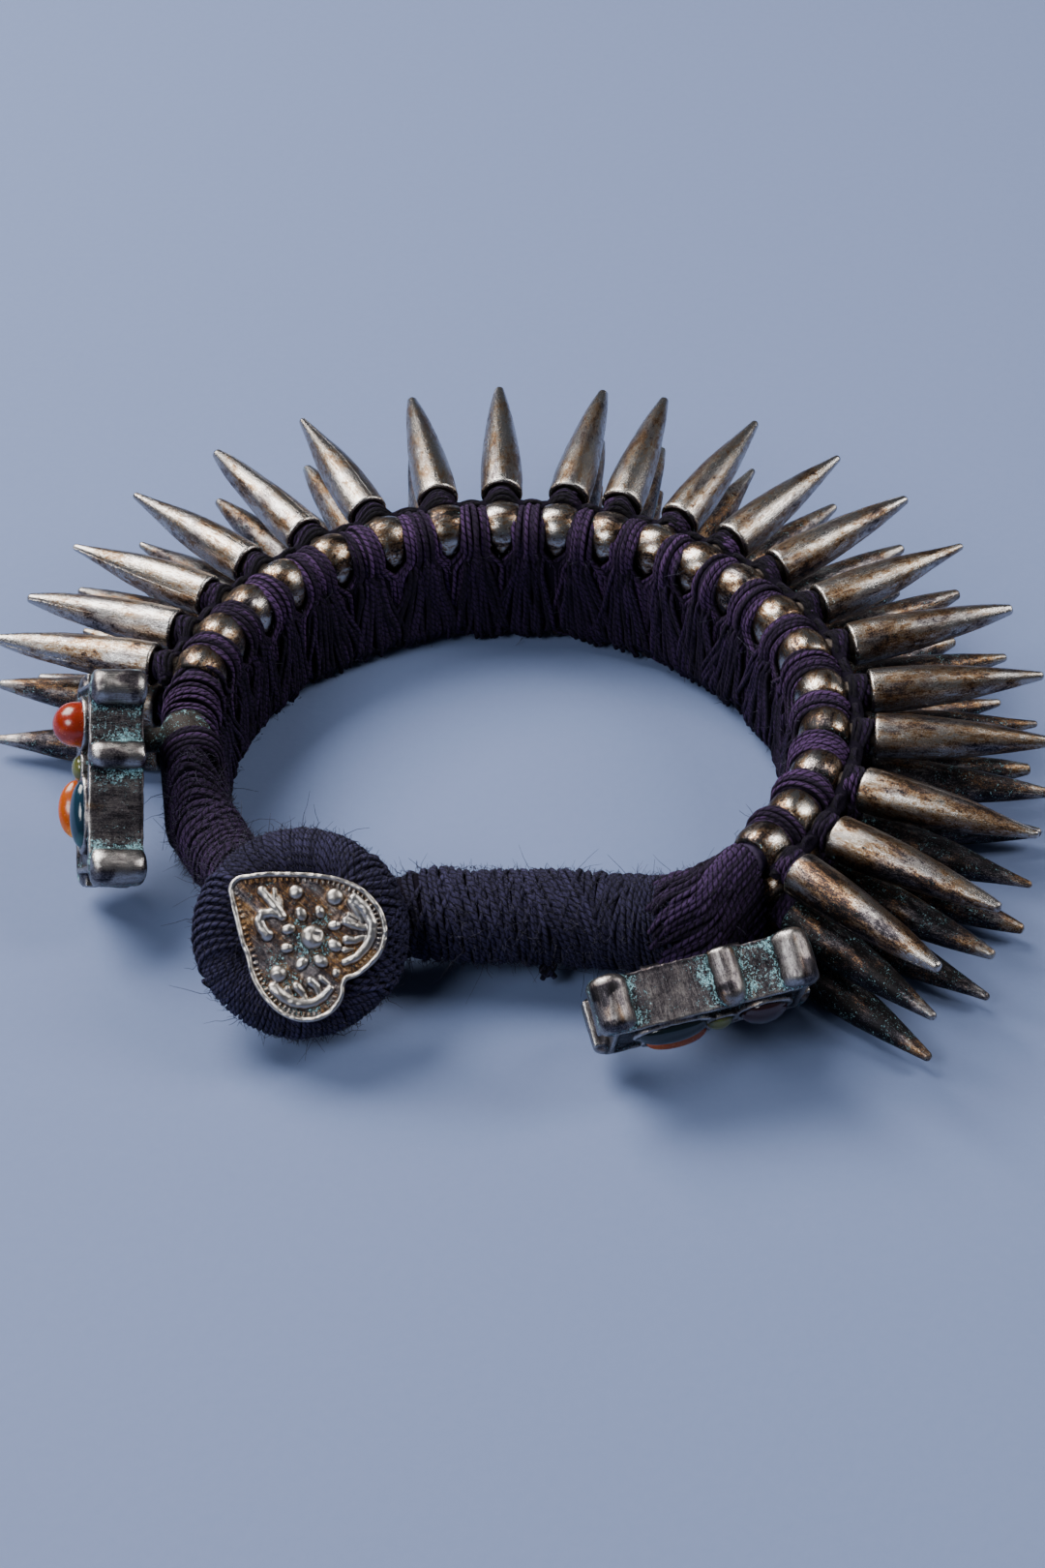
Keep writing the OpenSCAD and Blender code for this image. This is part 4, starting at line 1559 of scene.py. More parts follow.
@dataclass
class WoundSleeve:
    """Thread wound in close turns over a bent core that changes width along its way."""
    ring: RingLayout
    stations: tuple
    pitch: float = 0.57
    strand_r: float = 0.285
    slant: float = 0.5
    seed: int = 1
    per_turn: int = 34

    def spine(self) -> dict:
        """A cubic line through the stations, with side and up directions square to it.

        Returns:
            Arc length s, centre c, side and up directions, half width w and half height h.
        """
        st = np.array(self.stations, float)
        p = np.concatenate([st[:1], st, st[-1:]])
        rows = []
        t = np.linspace(0, 1, 20, endpoint=False)[:, None]
        for k in range(len(st) - 1):
            rows.append(curve_part(p[k], p[k + 1], p[k + 2], p[k + 3], t))
        path = np.concatenate(rows + [st[-1:]])
        c = path[:, :3] + np.array(self.ring.centre)
        h = unit(np.gradient(c, axis=0))
        side = unit(np.cross(h, np.array([0, 0, 1.0])))
        up = np.cross(side, h)
        return {"s": arc_length(c), "c": c, "side": side, "up": up, "w": path[:, 3], "h": path[:, 4]}

    def at(self, spine: dict, s: Array, a: Array,
           lift: Array) -> tuple[Array, Array]:
        """Points on the sleeve: centre + side (w + lift) cos a + up (h + lift) sin a.

        Args:
            spine: what spine() gives.
            s: length along it.
            a: angle around it.
            lift: height above the core's outer face.

        Returns:
            The points and their outward directions.
        """
        def pick(key: str) -> Array:
            """A spine value at each length.

            Args:
                key: which value.

            Returns:
                Its numbers or directions.
            """
            v = spine[key]
            if v.ndim == 1:
                return np.interp(s, spine["s"], v)
            return np.stack([np.interp(s, spine["s"], v[:, i]) for i in range(3)], -1)

        side, up = pick("side"), pick("up")
        w, h = pick("w"), pick("h")
        ca, sa = np.cos(a), np.sin(a)
        point = pick("c") + side * ((w + lift) * ca)[..., None] + up * ((h + lift) * sa)[..., None]
        normal = unit(side * (ca * h)[..., None] + up * (sa * w)[..., None])
        return point, normal

    def winding(self, shell: Shell, low: float = 0.0, high: float = 1.0, pitch: float | None = None,
                lift: float = 0.0, slant: float | None = None, seed: int = 0) -> None:
        """One strand wound from one share of the length to another.

        Its length along the sleeve is s + slant * sin(angle) + slow noise, so turns lean and bunch.

        Args:
            shell: where it goes.
            low: first share of the length.
            high: last share.
            pitch: advance of a turn.
            lift: height above the sleeve's face.
            slant: half the lean of a turn.
            seed: picks the noise.
        """
        spine = self.spine()
        total = spine["s"][-1]
        pitch = pitch or self.pitch
        slant = self.slant if slant is None else slant
        length = (high - low) * total
        turns = length / pitch
        m = max(int(turns * self.per_turn), 30)
        t = np.linspace(0, 1, m)
        a = 2 * np.pi * turns * t
        s0 = low * total + length * t
        lean = slant * (1 + 1.1 * wander(s0 * 0.22, self.seed + seed, 3.1))
        number = turns * t
        slip = 0.30 * wander(number * 0.83, self.seed + seed + 2) \
            + 0.16 * wander(number * 2.9, self.seed + seed + 3)
        s = np.clip(s0 + lean * np.sin(a + 0.9) + slip, 0, total)
        lumps = lattice_noise(xyz(s * 0.42, 1.6 * np.cos(a), 1.6 * np.sin(a)), self.seed)
        rise = lift - self.strand_r - 0.13 + 0.13 * wander(number * 1.31, self.seed + seed + 4) \
            + 0.09 * wander(number * 5.7, self.seed + seed + 5) + 0.20 * lumps
        path, normal = self.at(spine, s, a, rise)
        rng = np.random.default_rng(self.seed * 31 + seed)
        shell.add_long_strand(path, normal, self.strand_r, max(int(turns // 6), 1), rng, (0.36, 0.64))

    def runs(self, shell: Shell, low: float, high: float, count: int, lift: float, sweep: float) -> None:
        """Strands laid lengthwise over the winding, swinging round the sleeve as they go.

        Args:
            shell: where they go.
            low: first share of the length.
            high: last share.
            count: how many.
            lift: height above the sleeve's face.
            sweep: angle that each swings round.
        """
        spine = self.spine()
        total = spine["s"][-1]
        m = 44
        t = np.linspace(0, 1, m)
        rng = np.random.default_rng(self.seed * 7 + count)
        start = np.radians(np.linspace(0, 360, count, endpoint=False))
        paths, normals = [], []
        for j in range(count):
            a = start[j] + rng.uniform(-0.05, 0.05) + math.radians(sweep) * t ** 1.4 \
                + 0.09 * wander(t * 3, self.seed + j, 2.0)
            s = (low + (high * rng.uniform(0.82, 1.06) - low) * t) * total
            rise = lift - self.strand_r + 0.12 * wander(t * 4, self.seed + 40 + j) \
                + 0.05 * wander(t * 17, self.seed + j)
            rise = rise - 0.7 * smoothstep(0.9, 1.0, t)
            path, normal = self.at(spine, s, a, rise)
            paths.append(path)
            normals.append(normal)
        shell.add_strands(np.array(paths), np.array(normals), self.strand_r, 7, rng.uniform(0, 1, count))

    def core(self, shell: Shell, inset: float = 0.5) -> None:
        """The sleeve's dark core, a little under the winding.

        Args:
            shell: where it goes.
            inset: how far under the sleeve's face.
        """
        spine = self.spine()
        s = np.linspace(0.02, spine["s"][-1] - 0.02, 90)
        ss, aa = np.meshgrid(s, circle_angles(36), indexing="ij")
        points, _ = self.at(spine, ss, aa, np.full(ss.shape, -inset))
        ends, _ = self.at(spine, s[[0, -1]], np.zeros(2), -np.interp(s[[0, -1]], spine["s"], spine["w"]))
        shell.add_carried(points, ends)


def station(deg: float, z: float, w: float, h: float, r: float = 33.0) -> tuple:
    """A sleeve station on the ring, at an angle."""
    return (r * math.cos(math.radians(deg)), r * math.sin(math.radians(deg)), z, w, h)


@dataclass
class ClosingBar:
    """The straight wound bar across the front, its fanned right end and its knot.

    Each over winding is (from, to, pitch, lift, slant), each fan (to, strands, lift, sweep).
    """
    ring: RingLayout
    over: tuple = ((0.22, 0.66, 1.15, 0.14, 2.1), (0.28, 0.52, 1.7, 0.22, -1.5),
                   (0.50, 0.74, 1.4, 0.16, -1.9), (0.34, 0.46, 0.8, 0.24, 2.8),
                   (0.60, 0.70, 0.9, 0.22, 1.2), (0.20, 0.32, 0.9, 0.18, -0.6))
    fans: tuple = ((0.20, 66, 0.10, 50), (0.16, 44, 0.30, 62), (0.11, 30, 0.42, 34))

    def sleeve(self) -> WoundSleeve:
        """The bar's sleeve, from the first column to its end under the button.

        Returns:
            The sleeve.
        """
        return WoundSleeve(self.ring, (
            station(-45.4, 8.45, 3.05, 7.7), station(-48.9, 8.45, 3.2, 7.5),
            (18.8, -26.2, 8.05, 3.8, 6.7), (15.8, -25.4, 7.3, 4.4, 5.7), (12.4, -24.2, 6.8, 4.7, 4.9),
            (8.5, -23.2, 6.5, 4.7, 4.7), (0, -22.8, 6.5, 4.7, 4.7), (-7.6, -22.6, 6.5, 4.7, 4.7),
            (-10.2, -22.5, 5.9, 4.3, 4.3), (-13, -22.3, 4.9, 3, 3), (-17, -22.8, 4, 2.6, 2.6),
            (-21.6, -23.2, 3.5, 2.3, 2.3)), slant=0.8, seed=11)

    def knot(self, shell: Shell) -> None:
        """A small overhand knot low on the bar's front: two curled strands and their cut ends.

        Args:
            shell: where it goes.
        """
        t = np.linspace(0, 1, 40)
        a = 2 * np.pi * 1.6 * t
        curl = xyz(0.62 * np.cos(a), -0.35 + 0.34 * np.sin(a), 0.38 * np.sin(a + 0.8))
        cross = xyz(0.34 * np.sin(a), -0.45 + 0.3 * np.cos(a), 0.55 * np.cos(a * 0.9))
        end = xyz(-0.2 + 0.9 * t, -0.4 - 0.35 * t, -0.2 - 0.75 * t ** 2)
        middle = np.array([4.2, -25.95, 2.75]) + np.array(self.ring.centre)
        paths = np.stack([curl, cross, end, end * [-0.8, 1, 1.25]]) + middle
        shell.add_strands(paths, np.broadcast_to(np.array([0, -0.65, -0.76]), paths.shape), 0.30, 8,
                          np.array([0.3, 0.5, 0.6, 0.4]))

    def build(self, thread: Material, fan_thread: Material,
              core: Material) -> WoundSleeve:
        """Makes and dresses the bar.

        Args:
            thread: the winding's finish.
            fan_thread: the fanned end's finish.
            core: the near-black finish underneath, painted shade between the turns.

        Returns:
            Its sleeve, for the loose fibres.
        """
        sleeve = self.sleeve()
        shell = Shell()
        sleeve.winding(shell, 0.10, 1.0)
        dress(shell.build("bar_winding"), thread, "indigo_thread", "wound_bar")
        over = Shell()
        for low, *rest in self.over:
            sleeve.winding(over, low, *rest, seed=int(50 + 300 * low))
        self.knot(over)
        dress(over.build("bar_over_winding"), thread, "indigo_thread", "wound_bar")
        fan = Shell()
        for strands in self.fans:
            sleeve.runs(fan, 0.0, *strands)
        dress(fan.build("bar_fan"), fan_thread, "aubergine_thread", "wound_bar")
        inner = Shell()
        sleeve.core(inner)
        dress(inner.build("bar_core"), core, "indigo_thread", "wound_bar")
        return sleeve


@dataclass
class ButtonLoop:
    """The wound loop that holds the button, and the bound arm that carries it.

    Each over winding of the loop is (from angle, to angle, turns, sway), of the arm
    (from, to, pitch, lift, slant, seed).
    """
    ring: RingLayout
    loop_r: float = 7.45
    tube_r: float = 2.9
    centre: tuple = (-19.95, -29.0, 10.0)
    tilt: float = 45.0
    strand_r: float = 0.28
    turns: int = 126
    parts: int = 24
    over: tuple = ((-34, 46, 15, 0.20), (-22, 56, 12, -0.24), (-40, 10, 8, 0.3), (150, 205, 10, 0.18))
    arm_over: tuple = ((0.02, 0.62, 1.2, 0.16, -2.2, 60), (0.25, 0.9, 1.5, 0.20, 1.4, 80))

    def place(self, p: Array) -> Array:
        """From the loop's own plane to the row frame."""
        return p @ turn(X, self.tilt).T + np.array(self.centre) + np.array(self.ring.centre)

    def hoop(self, around: Array, a: Array, lift: Array) -> tuple[Array, Array]:
        """Points on the loop's tube: circle of loop_r, then a circle of tube_r + lift about it.

        Args:
            around: angle round the loop.
            a: angle round the tube.
            lift: height above the tube's face.

        Returns:
            The points and their outward directions.
        """
        ca, sa = np.cos(around), np.sin(around)
        out = xyz(ca, sa, 0)
        up = np.array([0, 0, 1.0])
        n = out * np.cos(a)[..., None] + up * np.sin(a)[..., None]
        p = out * self.loop_r + n * (self.tube_r + lift)[..., None]
        return self.place(p), n @ turn(X, self.tilt).T

    def winding(self) -> Shell:
        """Radial turns round the whole loop, with leaning turns laid over them at its sides.

        Returns:
            The turns.
        """
        shell = Shell()
        m = self.turns * 30
        t = np.linspace(0, 1, m)
        number = self.turns * t
        a = 2 * np.pi * number
        lean = 0.075 * (1 + 1.2 * wander(t * 14, 301)) * np.sin(a + 0.6)
        around = 2 * np.pi * t + lean + 0.012 * wander(number * 0.9, 302) \
            + 0.008 * wander(number * 4.1, 306)
        lift = -self.strand_r - 0.02 + 0.05 * wander(number * 1.2, 303) + 0.05 * wander(number * 5.3, 304)
        path, normal = self.hoop(around, a, lift)
        rng = np.random.default_rng(8)
        shell.add_long_strand(path, normal, self.strand_r, self.parts, rng, (0.4, 0.62))
        for k, (low, high, turns, sway) in enumerate(self.over):
            t = np.linspace(0, 1, turns * 32)
            a = 2 * np.pi * turns * t
            around = np.radians(low + (high - low) * t) + sway * np.sin(a + k)
            path, normal = self.hoop(around, a, 0.02 + 0.12 * wander(t * 9, 320 + k))
            shell.add_strands(path[None], normal[None], self.strand_r, 7, rng.uniform(0.45, 0.75, 1))
        return shell

    def core(self, shell: Shell) -> None:
        """The loop's dark core, a little under the turns.

        Args:
            shell: where it goes.
        """
        rings, sides, inset = 72, 24, 0.45
        around, a = np.meshgrid(circle_angles(rings), circle_angles(sides), indexing="ij")
        p, _ = self.hoop(around, a, np.full(a.shape, -inset))
        flat = p.reshape(-1, 3)
        shell.add(flat, hoop_faces(1, rings, sides)[:, ::-1], None, place=flat)

    def arm(self) -> WoundSleeve:
        """The bound arm from the last column down to the loop.

        Returns:
            Its sleeve.
        """
        return WoundSleeve(self.ring, (
            station(193.4, 8.45, 3.05, 7.7), station(196.4, 8.45, 3.2, 6.8), (-30.7, -11.6, 8.55, 3.5, 4.8),
            (-29.2, -15.2, 8.85, 3.6, 3.9), (-27.5, -18.9, 9.75, 3.5, 3.6), (-26.1, -22.4, 11.45, 3, 3),
            (-25.4, -24.6, 12.75, 2.4, 2.4)), slant=-0.9, seed=23)

    def build(self, loop_thread: Material, arm_thread: Material,
              core: Material) -> WoundSleeve:
        """Makes and dresses the loop and its arm.

        Args:
            loop_thread: the loop's finish.
            arm_thread: the arm's finish.
            core: the near-black finish underneath, painted shade between the turns.

        Returns:
            The arm's sleeve, for the loose fibres.
        """
        dress(self.winding().build("loop_winding"), loop_thread, "indigo_thread", "wound_loop")
        arm = self.arm()
        shell = Shell()
        arm.winding(shell, 0.0, 0.97)
        for numbers in self.arm_over:
            arm.winding(shell, *numbers)
        dress(shell.build("arm_winding"), arm_thread, "aubergine_thread", "wound_loop")
        inner = Shell()
        self.core(inner)
        arm.core(inner)
        dress(inner.build("loop_core"), core, "indigo_thread", "wound_loop")
        return arm


@dataclass
class LooseFibres:
    """Fine flyaway fibres on the wound thread and the curtain."""
    ring: RingLayout
    on_loop: int = 2100
    on_curtain: int = 900
    short_share: float = 0.82
    longest: float = 3.2
    root_r: float = 0.042

    def hairs(self, roots: Array, out: Array, rng: np.random.Generator) -> Shell:
        """Thin curved hairs: root + out * t + bend * t^2, tapering to nothing.

        Args:
            roots: where they start.
            out: which way they leave.
            rng: source of their lengths and bends.

        Returns:
            The hairs' shell.
        """
        n = len(roots)
        t = np.linspace(0, 1, 4)[:, None]
        length = np.where(rng.uniform(0, 1, n) < self.short_share, rng.uniform(0.25, 0.75, n),
                          rng.gamma(2.4, 0.5, n))
        length = length[:, None, None].clip(0.2, self.longest)
        first = unit(out * rng.uniform(0.25, 1.0, (n, 1)) + rng.normal(0, 0.6, (n, 3)))[:, None]
        bend = unit(rng.normal(0, 1, (n, 3)))[:, None] * rng.uniform(0.2, 0.9, (n, 1, 1))
        curl = unit(rng.normal(0, 1, (n, 3)))[:, None] * rng.uniform(0.0, 0.35, (n, 1, 1))
        paths = roots[:, None] + length * (first * t + bend * t ** 2 + curl * np.sin(5 * t))
        paths[..., 2] = np.maximum(paths[..., 2], 0.15)
        radius = (self.root_r * (1 - 0.6 * t[..., 0])) * rng.uniform(0.7, 1.15, (n, 1))
        shell = Shell()
        shell.add_strands(paths, np.broadcast_to(np.array([0.2, 0.3, 1.0]), paths.shape), radius, 3,
                          rng.uniform(0.6, 1, n))
        return shell

    def build(self, sleeves: tuple, loop: ButtonLoop, thread: Material) -> None:
        """Makes and dresses the fibres on the bar, the arm, the loop and the curtain.

        Args:
            sleeves: pairs of a sleeve and the number of its fibres.
            loop: the button loop.
            thread: the fibres' finish.
        """
        rng = np.random.default_rng(97)
        roots, outs = [], []
        for sleeve, count in sleeves:
            spine = sleeve.spine()
            s = rng.uniform(0.03, 0.97, count) * spine["s"][-1]
            p, n = sleeve.at(spine, s, rng.uniform(0, 2 * np.pi, count), np.zeros(count))
            roots.append(p)
            outs.append(n)
        m = self.on_loop
        p, n = loop.hoop(rng.uniform(0, 2 * np.pi, m), rng.uniform(-1.2, 3.6, m), np.zeros(m))
        roots.append(p)
        outs.append(n)
        deg = rng.uniform(-42, 190, self.on_curtain)
        z = rng.uniform(0.8, 15.5, self.on_curtain)
        a = np.radians(deg)
        roots.append(self.ring.round_point(deg, np.where(z > 13.4, 30.2, 29.5), z))
        outs.append(xyz(-np.cos(a), -np.sin(a), 0.4))
        shell = self.hairs(np.concatenate(roots), np.concatenate(outs), rng)
        dress(shell.build("loose_fibres"), thread, "indigo_thread")


# Cast pieces.

# The heart's own sizes: point along +X, the larger lobe at -Y. A granule is (x, y, radius), and a wire
# of the twig or the leaves is (points, radius, share by which it thins).
HEART_EDGE = (
    (9.1, 0.65), (9.35, 0), (9.2, -0.95), (8.45, -1.85), (7.4, -3), (5.9, -4.3), (4.5, -5.45), (3.15, -6.4),
    (2.1, -7.05), (0.9, -7.55), (-0.35, -7.9), (-1.65, -7.9), (-2.95, -7.7), (-4.05, -7.2), (-4.85, -6.6),
    (-5.4, -5.95), (-5.9, -5), (-6.15, -3.9), (-6.1, -2.6), (-5.8, -1.2), (-5.3, -0.1), (-5.95, 0.95),
    (-6.3, 2), (-6.25, 3.1), (-5.85, 4.25), (-5.05, 5.25), (-3.9, 6.0), (-2.4, 6.4), (-0.7, 6.35),
    (0.9, 5.95), (2.2, 5.35), (3.45, 4.45), (4.6, 3.85), (5.45, 3.3), (6.6, 2.5), (7.65, 1.75), (8.6, 1.05))
GRANULES = ((-0.05, -1.2, 1.22), (4, -3.4, 0.76), (0.9, -5.5, 0.88), (0.1, 3.6, 0.88),
            (-4, -0.1, 0.48), (3.4, 1.5, 0.70), (6.55, -1.36, 0.56))
BOSS_RING = ((2.25, -2.15), (1, -3.45), (-0.9, -3.4), (-2.2, -2), (-2.15, 0), (-0.95, 1.4), (1.1, 1.2),
             (2.2, -0.25))
TWIG = (
    (((3.5, -0.8), (4.69, -1.09), (5.75, -1.24), (6.6, -1.37)), 0.54, 0.1),
    (((4.32, -1.14), (5.06, -1.57), (5.72, -2.2)), 0.40, 0.2),
    (((4.03, -1.26), (4.5, -1.79), (4.98, -2.04)), 0.34, 0.3),
    (((3.7, -0.88), (4.52, -0.3), (5.07, 0.31), (4.83, 1.03), (4.13, 1.37), (3.4, 1.49)), 0.50, -0.2))
LEAVES = (
    (((-0.7, -6.58), (-2.06, -6.56), (-3.52, -5.96), (-4.24, -4.98), (-4.53, -3.9), (-4.51, -2.54),
      (-3.97, -1.4)), 0.64, 0.35),
    (((-0.68, -6.2), (-1.95, -5.8), (-2.57, -5.5)), 0.52, 0.4),
    (((-1.49, -4.46), (-2.36, -4.68), (-3.1, -5.06), (-3.6, -5.55)), 0.54, 0.4),
    (((-2.7, -3.15), (-3.3, -3.6), (-3.75, -4.4)), 0.54, 0.4),
    (((-1.32, -5.11), (-2.12, -5.27)), 0.36, 0.4),
    (((-3.2, -2.3), (-3.75, -2.9)), 0.36, 0.4),
    (((-0.43, 4.87), (-1.71, 4.95), (-2.8, 4.67), (-3.69, 4.16), (-4.32, 3.35), (-4.59, 2.44), (-4.6, 1.38)),
     0.62, 0.3),
    (((-1.5, 4.1), (-2.35, 4.35)), 0.38, 0.3),
    (((-2.03, 3.34), (-2.81, 3.46), (-3.55, 3.75)), 0.52, 0.4),
    (((-2.69, 2.1), (-3.48, 2.08), (-4.15, 2.6)), 0.52, 0.4),
    (((-3.3, 1.2), (-4.1, 1.2)), 0.38, 0.3))


@dataclass
class HeartButton:
    """The cast heart: rim, toothed border, granules, a leafy twig, crescent leaves, shank and foot.

    The rim and the border are each (distance of the middle from the edge, half width).
    """
    loop: ButtonLoop
    thick: float = 1.3
    rim_h: float = 0.5
    rim: tuple = (0.22, 0.33)
    border: tuple = (0.74, 0.28)
    tooth: float = 0.58
    offset: tuple = (0.65, -1.4)
    lift: float = 3.05
    point_deg: float = 139.0
    middle: tuple = (0.8, -0.9)
    foot_z: float = -9.1
    around: int = 440

    def outline(self) -> Array:
        """The heart's edge: a closed cubic line through its measured points, evenly spaced.

        Returns:
            Its points, (around, 2).
        """
        p = np.array(HEART_EDGE)
        a, b, c, d = (np.roll(p, k, 0)[:, None] for k in (1, 0, -1, -2))
        t = np.linspace(0, 1, 24, endpoint=False)[:, None]
        line = curve_part(a, b, c, d, t).reshape(-1, 2)[::-1]
        closed = np.concatenate([line, line[:1]])
        s = arc_length(closed)
        u = np.linspace(0, s[-1], self.around, endpoint=False)
        return np.stack([np.interp(u, s, closed[:, i]) for i in (0, 1)], -1)

    def relief(self, p: Array, edge: Array, arc: Array) -> tuple[Array, Array]:
        """Height of the front over its flat back, and how raised each place is.

        Args:
            p: places, (n, 2).
            edge: distance to the outline.
            arc: length along the outline of its nearest point.

        Returns:
            Height, and a 0 to 1 share of raised work for the wear.
        """
        x, y = p[:, 0], p[:, 1]
        p3 = xyz(x, y, 0)
        ground = self.thick - 0.05 + 0.07 * lattice_noise(p3 * 0.9, 31) + 0.035 * lattice_noise(p3 * 2.6, 32)
        work = np.zeros_like(x)
        rim = np.sqrt(np.clip(1 - ((edge - self.rim[0]) / self.rim[1]) ** 2, 0, 1))
        rim = rim * (0.88 + 0.16 * lattice_noise(p3 * 1.9, 33))
        work = np.maximum(work, self.rim_h * rim)
        tooth = np.clip(0.45 + 0.8 * np.cos(2 * np.pi * arc / self.tooth + lattice_noise(p3 * 0.7, 34)), 0, 1)
        border = np.sqrt(np.clip(1 - ((edge - self.border[0]) / self.border[1]) ** 2, 0, 1))
        some = np.maximum(smoothstep(-4.2, -5.2, y), smoothstep(3.4, 4.6, y)) * smoothstep(4.6, 3.2, x)
        work = np.maximum(work, (0.10 + 0.16 * some) * tooth * border)

        def ball(cx: float, cy: float, r: float, tall: float, long: float = 1.0,
                 deg: float = 0.0) -> Array:
            """A granule: half an egg, tall * r * sqrt(1 - (u / long r)^2 - (v / r)^2).

            Args:
                cx: its middle.
                cy: its middle.
                r: its radius.
                tall: its height as a share of r.
                long: its length as a share of its width.
                deg: which way it is long.

            Returns:
                Its height at each place.
            """
            c, s = math.cos(math.radians(deg)), math.sin(math.radians(deg))
            u, v = (x - cx) * c + (y - cy) * s, -(x - cx) * s + (y - cy) * c
            return tall * r * np.sqrt(np.clip(1 - (u / (r * long)) ** 2 - (v / r) ** 2, 0, 1))

        def wires(chain: tuple, r: float, tall: float, thin: float) -> Array:
            """A raised wire: its height falls as a half circle with distance from the line.

            Args:
                chain: the points it runs through.
                r: its half width.
                tall: its height as a share of r.
                thin: the share by which it thins towards its end.

            Returns:
                Its height at each place.
            """
            best = np.zeros_like(x)
            for k, ((ax, ay), (bx, by)) in enumerate(zip(chain, chain[1:])):
                d = np.array([bx - ax, by - ay])
                t = np.clip(((x - ax) * d[0] + (y - ay) * d[1]) / (d @ d), 0, 1)
                gap = np.hypot(x - ax - t * d[0], y - ay - t * d[1])
                rr = r * (1 - thin * (k + t) / (len(chain) - 1))
                best = np.maximum(best, tall * rr * np.sqrt(np.clip(1 - (gap / rr) ** 2, 0, 1)))
            return best

        for cx, cy, r in GRANULES:
            work = np.maximum(work, ball(cx, cy, r, 0.80))
        work = work - 0.22 * np.exp(-((x + 0.45) ** 2 + (y + 1.6) ** 2) / 0.16)
        for k, (cx, cy) in enumerate(BOSS_RING):
            away = math.degrees(math.atan2(cy + 1.2, cx + 0.05))
            work = np.maximum(work, ball(cx, cy, 0.60 + 0.06 * math.sin(5.0 * k), 0.92, 1.3,
                                         away + 35 * math.sin(2 * k)))
        for chain, r, thin in TWIG:
            work = np.maximum(work, wires(chain, r, 1.0, thin))
        for chain, r, thin in LEAVES:
            work = np.maximum(work, wires(chain, r, 0.95, thin))
        raised = np.clip(work / 0.40, 0, 1.2)
        return ground + work, raised

    def shell(self) -> Shell:
        """Back, side and relief front as one surface of outline share and height, then the shank.

        Returns:
            The whole casting.
        """
        out = self.outline()
        c = np.array(self.middle)
        seg = np.linalg.norm(np.roll(out, -1, 0) - out, axis=1)
        along = np.concatenate([[0], np.cumsum(seg)[:-1]])
        back = xyz(np.linspace(0.06, 0.965, 8), 0)
        side = np.array([[0.985, 0.05], [0.996, 0.16], [1.0, 0.35], [1.0, 0.8], [1.0, 1.2], [1.0, 1.45]])
        front_share = np.concatenate([np.linspace(1.0, 0.84, 34), np.linspace(0.84, 0.02, 84)[1:]])
        share = np.concatenate([back[:, 0], side[:, 0], front_share])
        grid = c + share[:, None, None] * (out - c)[None]
        m, n = grid.shape[:2]
        flat = grid.reshape(-1, 2)
        gap = np.full(len(flat), 1e9)
        near = np.zeros(len(flat), int)
        for part in np.array_split(np.arange(self.around), 8):
            d = np.linalg.norm(flat[:, None] - out[None, part], axis=-1)
            best = d.argmin(1)
            value = d[np.arange(len(flat)), best]
            near = np.where(value < gap, part[best], near)
            gap = np.minimum(gap, value)
        top, raised = self.relief(flat, gap, along[near])
        z = np.concatenate([back[:, 1], side[:, 1], np.zeros(len(front_share))])
        z = np.repeat(z, n)
        is_front = np.repeat(np.arange(m) >= len(back) + len(side), n)
        z = np.where(is_front, top, np.minimum(z, top - 0.02))
        local = np.concatenate([np.column_stack([flat, z]), [[*c, 0], [*c, 0]]])
        centre_top, centre_raise = self.relief(np.array([c]), np.array([5.0]), np.array([0.0]))
        local[-1, 2] = centre_top[0]
        raised = np.concatenate([np.where(is_front, raised, 0.3), [0.2], centre_raise])
        quads, tris = tube_faces(1, m, n)
        # The lower lobes hold the blue-green bloom; the ground is brown all over.
        low = np.maximum(smoothstep(0.2, 3.6, local[:, 1]) * smoothstep(3.5, 0.5, local[:, 0]),
                         smoothstep(3.4, 1.6, np.hypot(local[:, 0], local[:, 1] + 1.2)))
        shell = Shell()
        front = np.concatenate([is_front, [False, True]])
        shell.add(self.place(local), quads, tris, place=local, seed=0.42,
                  wear=np.where(front, -0.25 + 1.35 * raised, 0.1),
                  soot=np.where(front, 0.20 - 0.7 * raised, 0.3),
                  bloom=np.where(front, 0.40 * low - 0.5 * raised, -0.4))
        self.shank(shell)
        return shell

    def place(self, local: Array) -> Array:
        """From the heart's own frame, point along +X and back at 0, to the row frame."""
        p = local @ turn(Z, self.point_deg).T + np.array([*self.offset, self.lift])
        return self.loop.place(p)

    def shank(self, shell: Shell) -> None:
        """The shank post and its foot disc, one lathe surface.

        Args:
            shell: the button's shell, which they are added to.
        """
        sides = 28
        prof = np.array([[self.foot_z, 1.3], [-9.0, 1.6], [-8.5, 1.6], [-8.4, 1.45], [-8.35, 0.9],
                         [-5, 0.9], [-1, 0.9], [0.2, 0.92]])
        local = lathe(prof[:, 0], prof[:, 1], sides)[:, [Y, Z, X]]
        quads, tris = tube_faces(1, len(prof), sides)
        # Black all over: painted shade on the shank and its foot under the loop.
        shell.add(self.place(local), quads, tris, place=local, seed=0.2, wear=0, soot=1, bloom=-0.4)

    def build(self, fx: Effects) -> None:
        """Makes and dresses the button.

        Args:
            fx: the shared groups.
        """
        finish = SilverFinish("heart_silver", 0.56, -0.06, bump=0.00003, rough=0.17, spread=0.45,
                              cool=-0.08)
        dress(self.shell().build("heart_button_cast"), finish.material(fx), "button_silver", "heart_button")


class Way(Enum):
    """Which end of a terminal holds its long segment."""
    LEFT = 1
    RIGHT = -1


